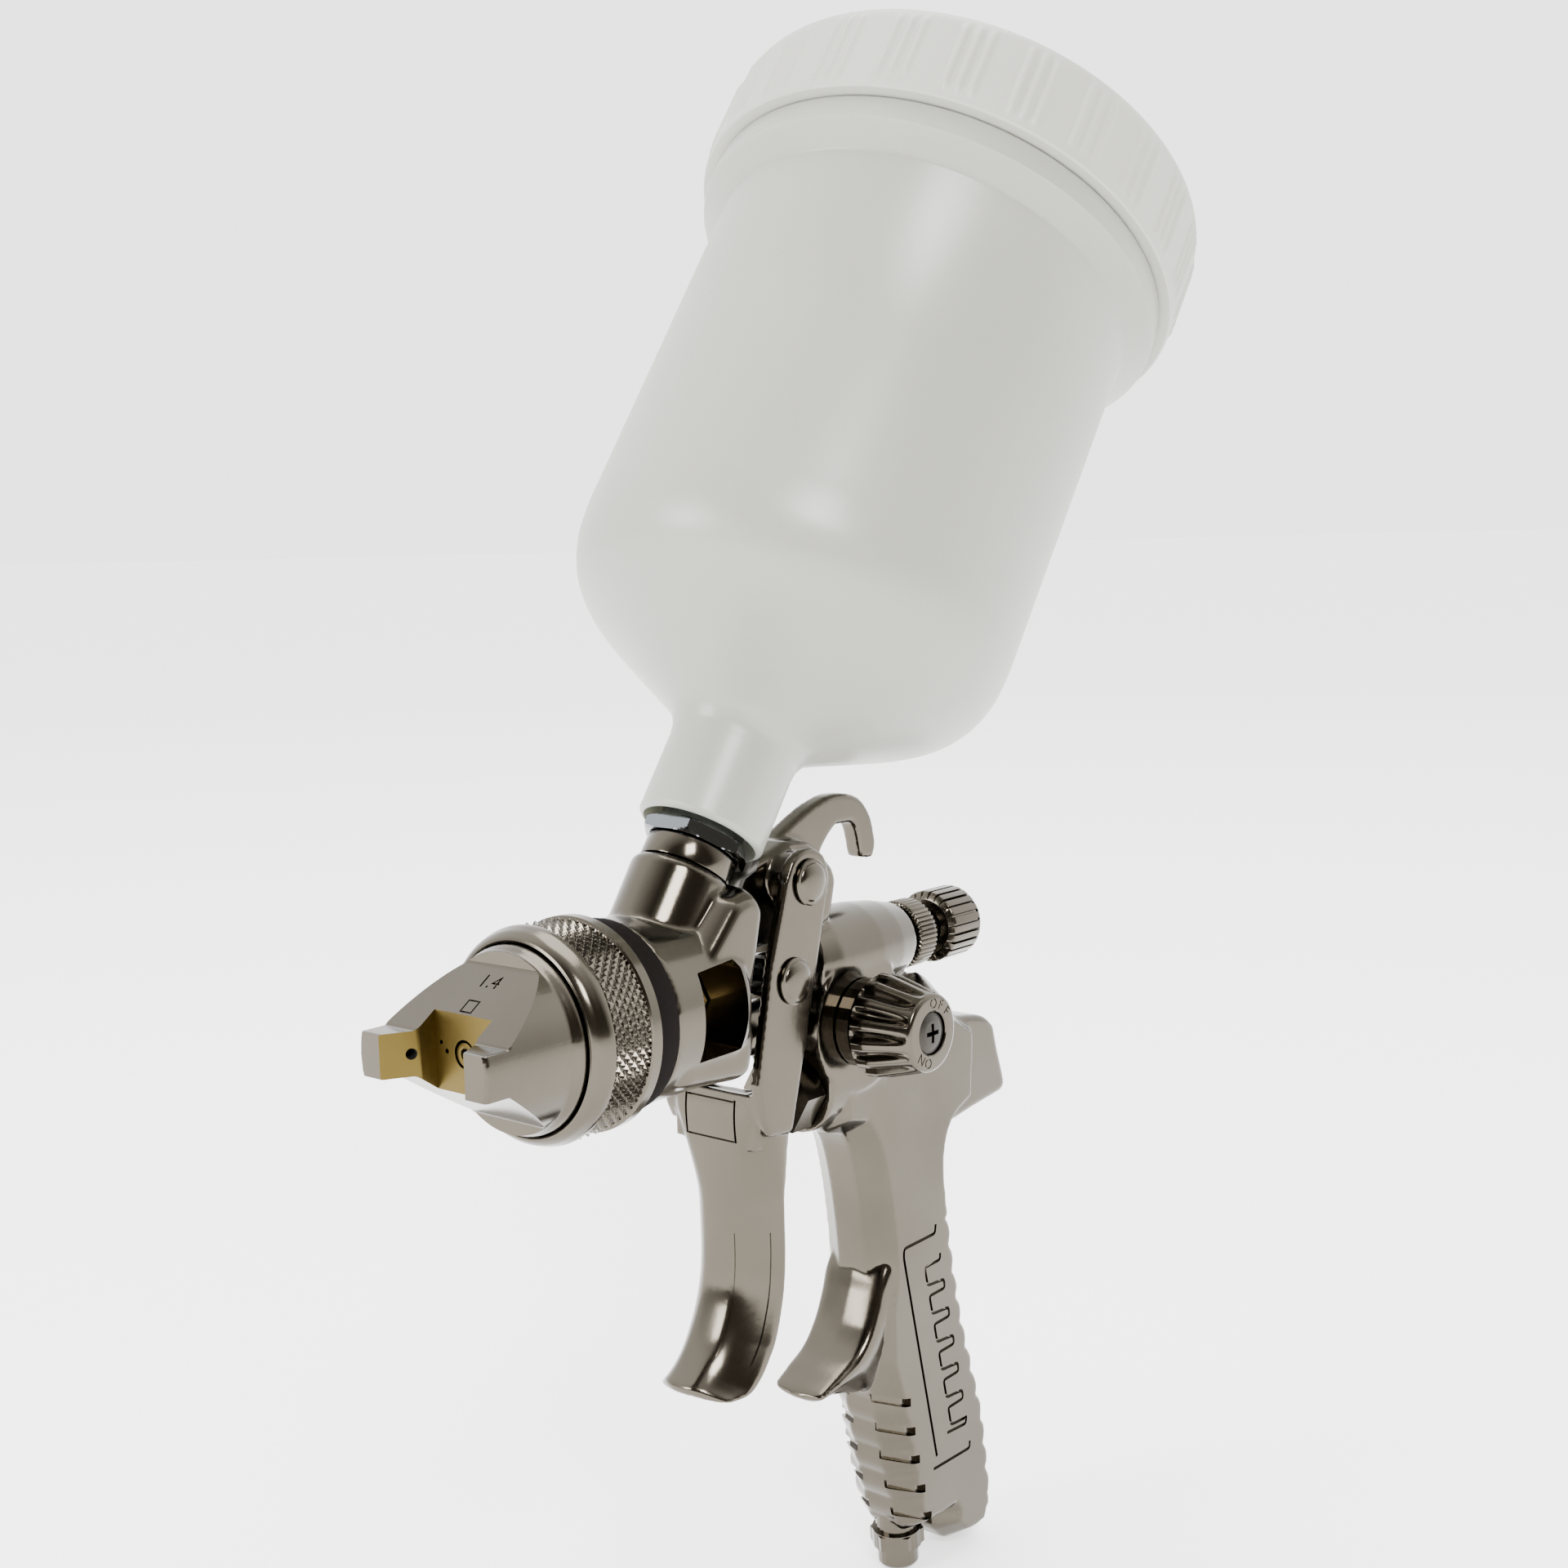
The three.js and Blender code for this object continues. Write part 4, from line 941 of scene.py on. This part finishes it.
for name, body, radius, wire, ends, turns, axis in (
        ("needle_spring", "needle", 3.6, 0.5, (28, 51.4), 6, NEEDLE),
        ("air_valve_spring", "air_valve", 3.4, 0.4, (31.6, 43.2), 4, VALVE)):
    spring = add_piece(name + "_coil", [coil(radius, wire, *ends, turns, axis)], None,
                       SPRING_STEEL, name, slot="spring_steel")
    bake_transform(spring)

# ---------------------------------------------------------------- nodes kept from the frame
# The small turned pieces inside keep their own shape and take a finish of their metal.

NUT_BRASS = finish("polished_brass", (0.62, 0.44, 0.16), (0.8, 0.6, 0.26), (0.3, 0.42))
WHITE_PTFE = finish("white_ptfe", (0.5, 0.5, 0.48), (0.6, 0.6, 0.57), (0.4, 0.55), metallic=0.0)
KEPT = {
    BRASS: ["air_baffle", "spring_cup", "fan_spindle"],
    NUT_BRASS: ["packing_nut"],
    BRIGHT_STEEL: ["fluid_needle", "needle_collar", "needle_yoke", "air_valve_stem"],
    SATIN_NICKEL: ["fan_valve_housing", "air_valve_nut", "air_inlet_fitting"],
    BLACK_SEAL: ["air_valve_seat"],
    WHITE_PTFE: ["packing_seal", "cup_filter", "lid_liner"],
}
for material, names in KEPT.items():
    for name in names:
        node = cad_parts[name]
        node.data.materials.clear()
        node.data.materials.append(material)

# ---------------------------------------------------------------- floor and light
# A flat pale floor that runs far back under a white wall of light, a dim room behind the
# viewer, and large soft lamps on both sides and above.

floor_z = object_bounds()[0][2] - 0.0005
FLOOR_BACK, FLOOR_AHEAD, FLOOR_HALF = -8, 60, 40
floor_corners = np.array([[FLOOR_BACK, -FLOOR_HALF], [FLOOR_AHEAD, -FLOOR_HALF],
                          [FLOOR_AHEAD, FLOOR_HALF], [FLOOR_BACK, FLOOR_HALF]], float)
view_turn = math.atan2(ahead[1], ahead[0])
floor_corners = floor_corners @ np.array([[math.cos(view_turn), math.sin(view_turn)],
                                          [-math.sin(view_turn), math.cos(view_turn)]])
floor_mesh = bpy.data.meshes.new("floor")
floor_mesh.from_pydata([[x, y, floor_z] for x, y in floor_corners], [], [[0, 1, 2, 3]])
floor = bpy.data.objects.new("floor", floor_mesh)
scene.collection.objects.link(floor)
paper = bpy.data.materials.new("floor_paper")
paper.use_nodes = True
for label, value in (("Base Color", (0.93, 0.93, 0.93, 1)), ("Roughness", 0.9),
                     ("Emission Color", (1, 1, 1, 1)), ("Emission Strength", 1.2)):
    paper.node_tree.nodes["Principled BSDF"].inputs[label].default_value = value
floor_mesh.materials.append(paper)

world = bpy.data.worlds.new("studio")
world.use_nodes = True
sky, joins = world.node_tree.nodes, world.node_tree.links
DIM, WHITE = (0.07, 0.062, 0.05, 1), (1, 1, 1, 1)
facing_way = sky.new("ShaderNodeVectorMath")
facing_way.operation = "DOT_PRODUCT"
facing_way.inputs[1].default_value = (ahead[0], ahead[1], 0.25)
direction = sky.new("ShaderNodeTexCoord")
room = sky.new("ShaderNodeValToRGB")
for stop, position, color in zip(room.color_ramp.elements, (0.30, 0.62), (DIM, WHITE)):
    stop.position, stop.color = position, color
half_way = sky.new("ShaderNodeMapRange")
half_way.inputs["From Min"].default_value = -1
joins.new(direction.outputs["Generated"], facing_way.inputs[0])
joins.new(facing_way.outputs["Value"], half_way.inputs["Value"])
joins.new(half_way.outputs["Result"], room.inputs["Fac"])
joins.new(room.outputs["Color"], sky["Background"].inputs["Color"])
sky["Background"].inputs["Strength"].default_value = 3.0
scene.world = world


def soft_lamp(name, place, size, power):
    """A square lamp turned to face the hook."""
    lamp_data = bpy.data.lights.new(name, "AREA")
    lamp_data.size = size
    lamp_data.energy = power
    lamp = bpy.data.objects.new(name, lamp_data)
    scene.collection.objects.link(lamp)
    lamp.location = place
    lamp.rotation_euler = (-Vector(place)).to_track_quat("-Z", "Y").to_euler()


soft_lamp("key_lamp", (-0.9, -1.1, 1.2), 0.6, 44)
soft_lamp("fill_lamp", (-1.4, 0.6, 0.5), 0.6, 24)
soft_lamp("top_lamp", (0.3, 0.2, 1.6), 1.2, 30)
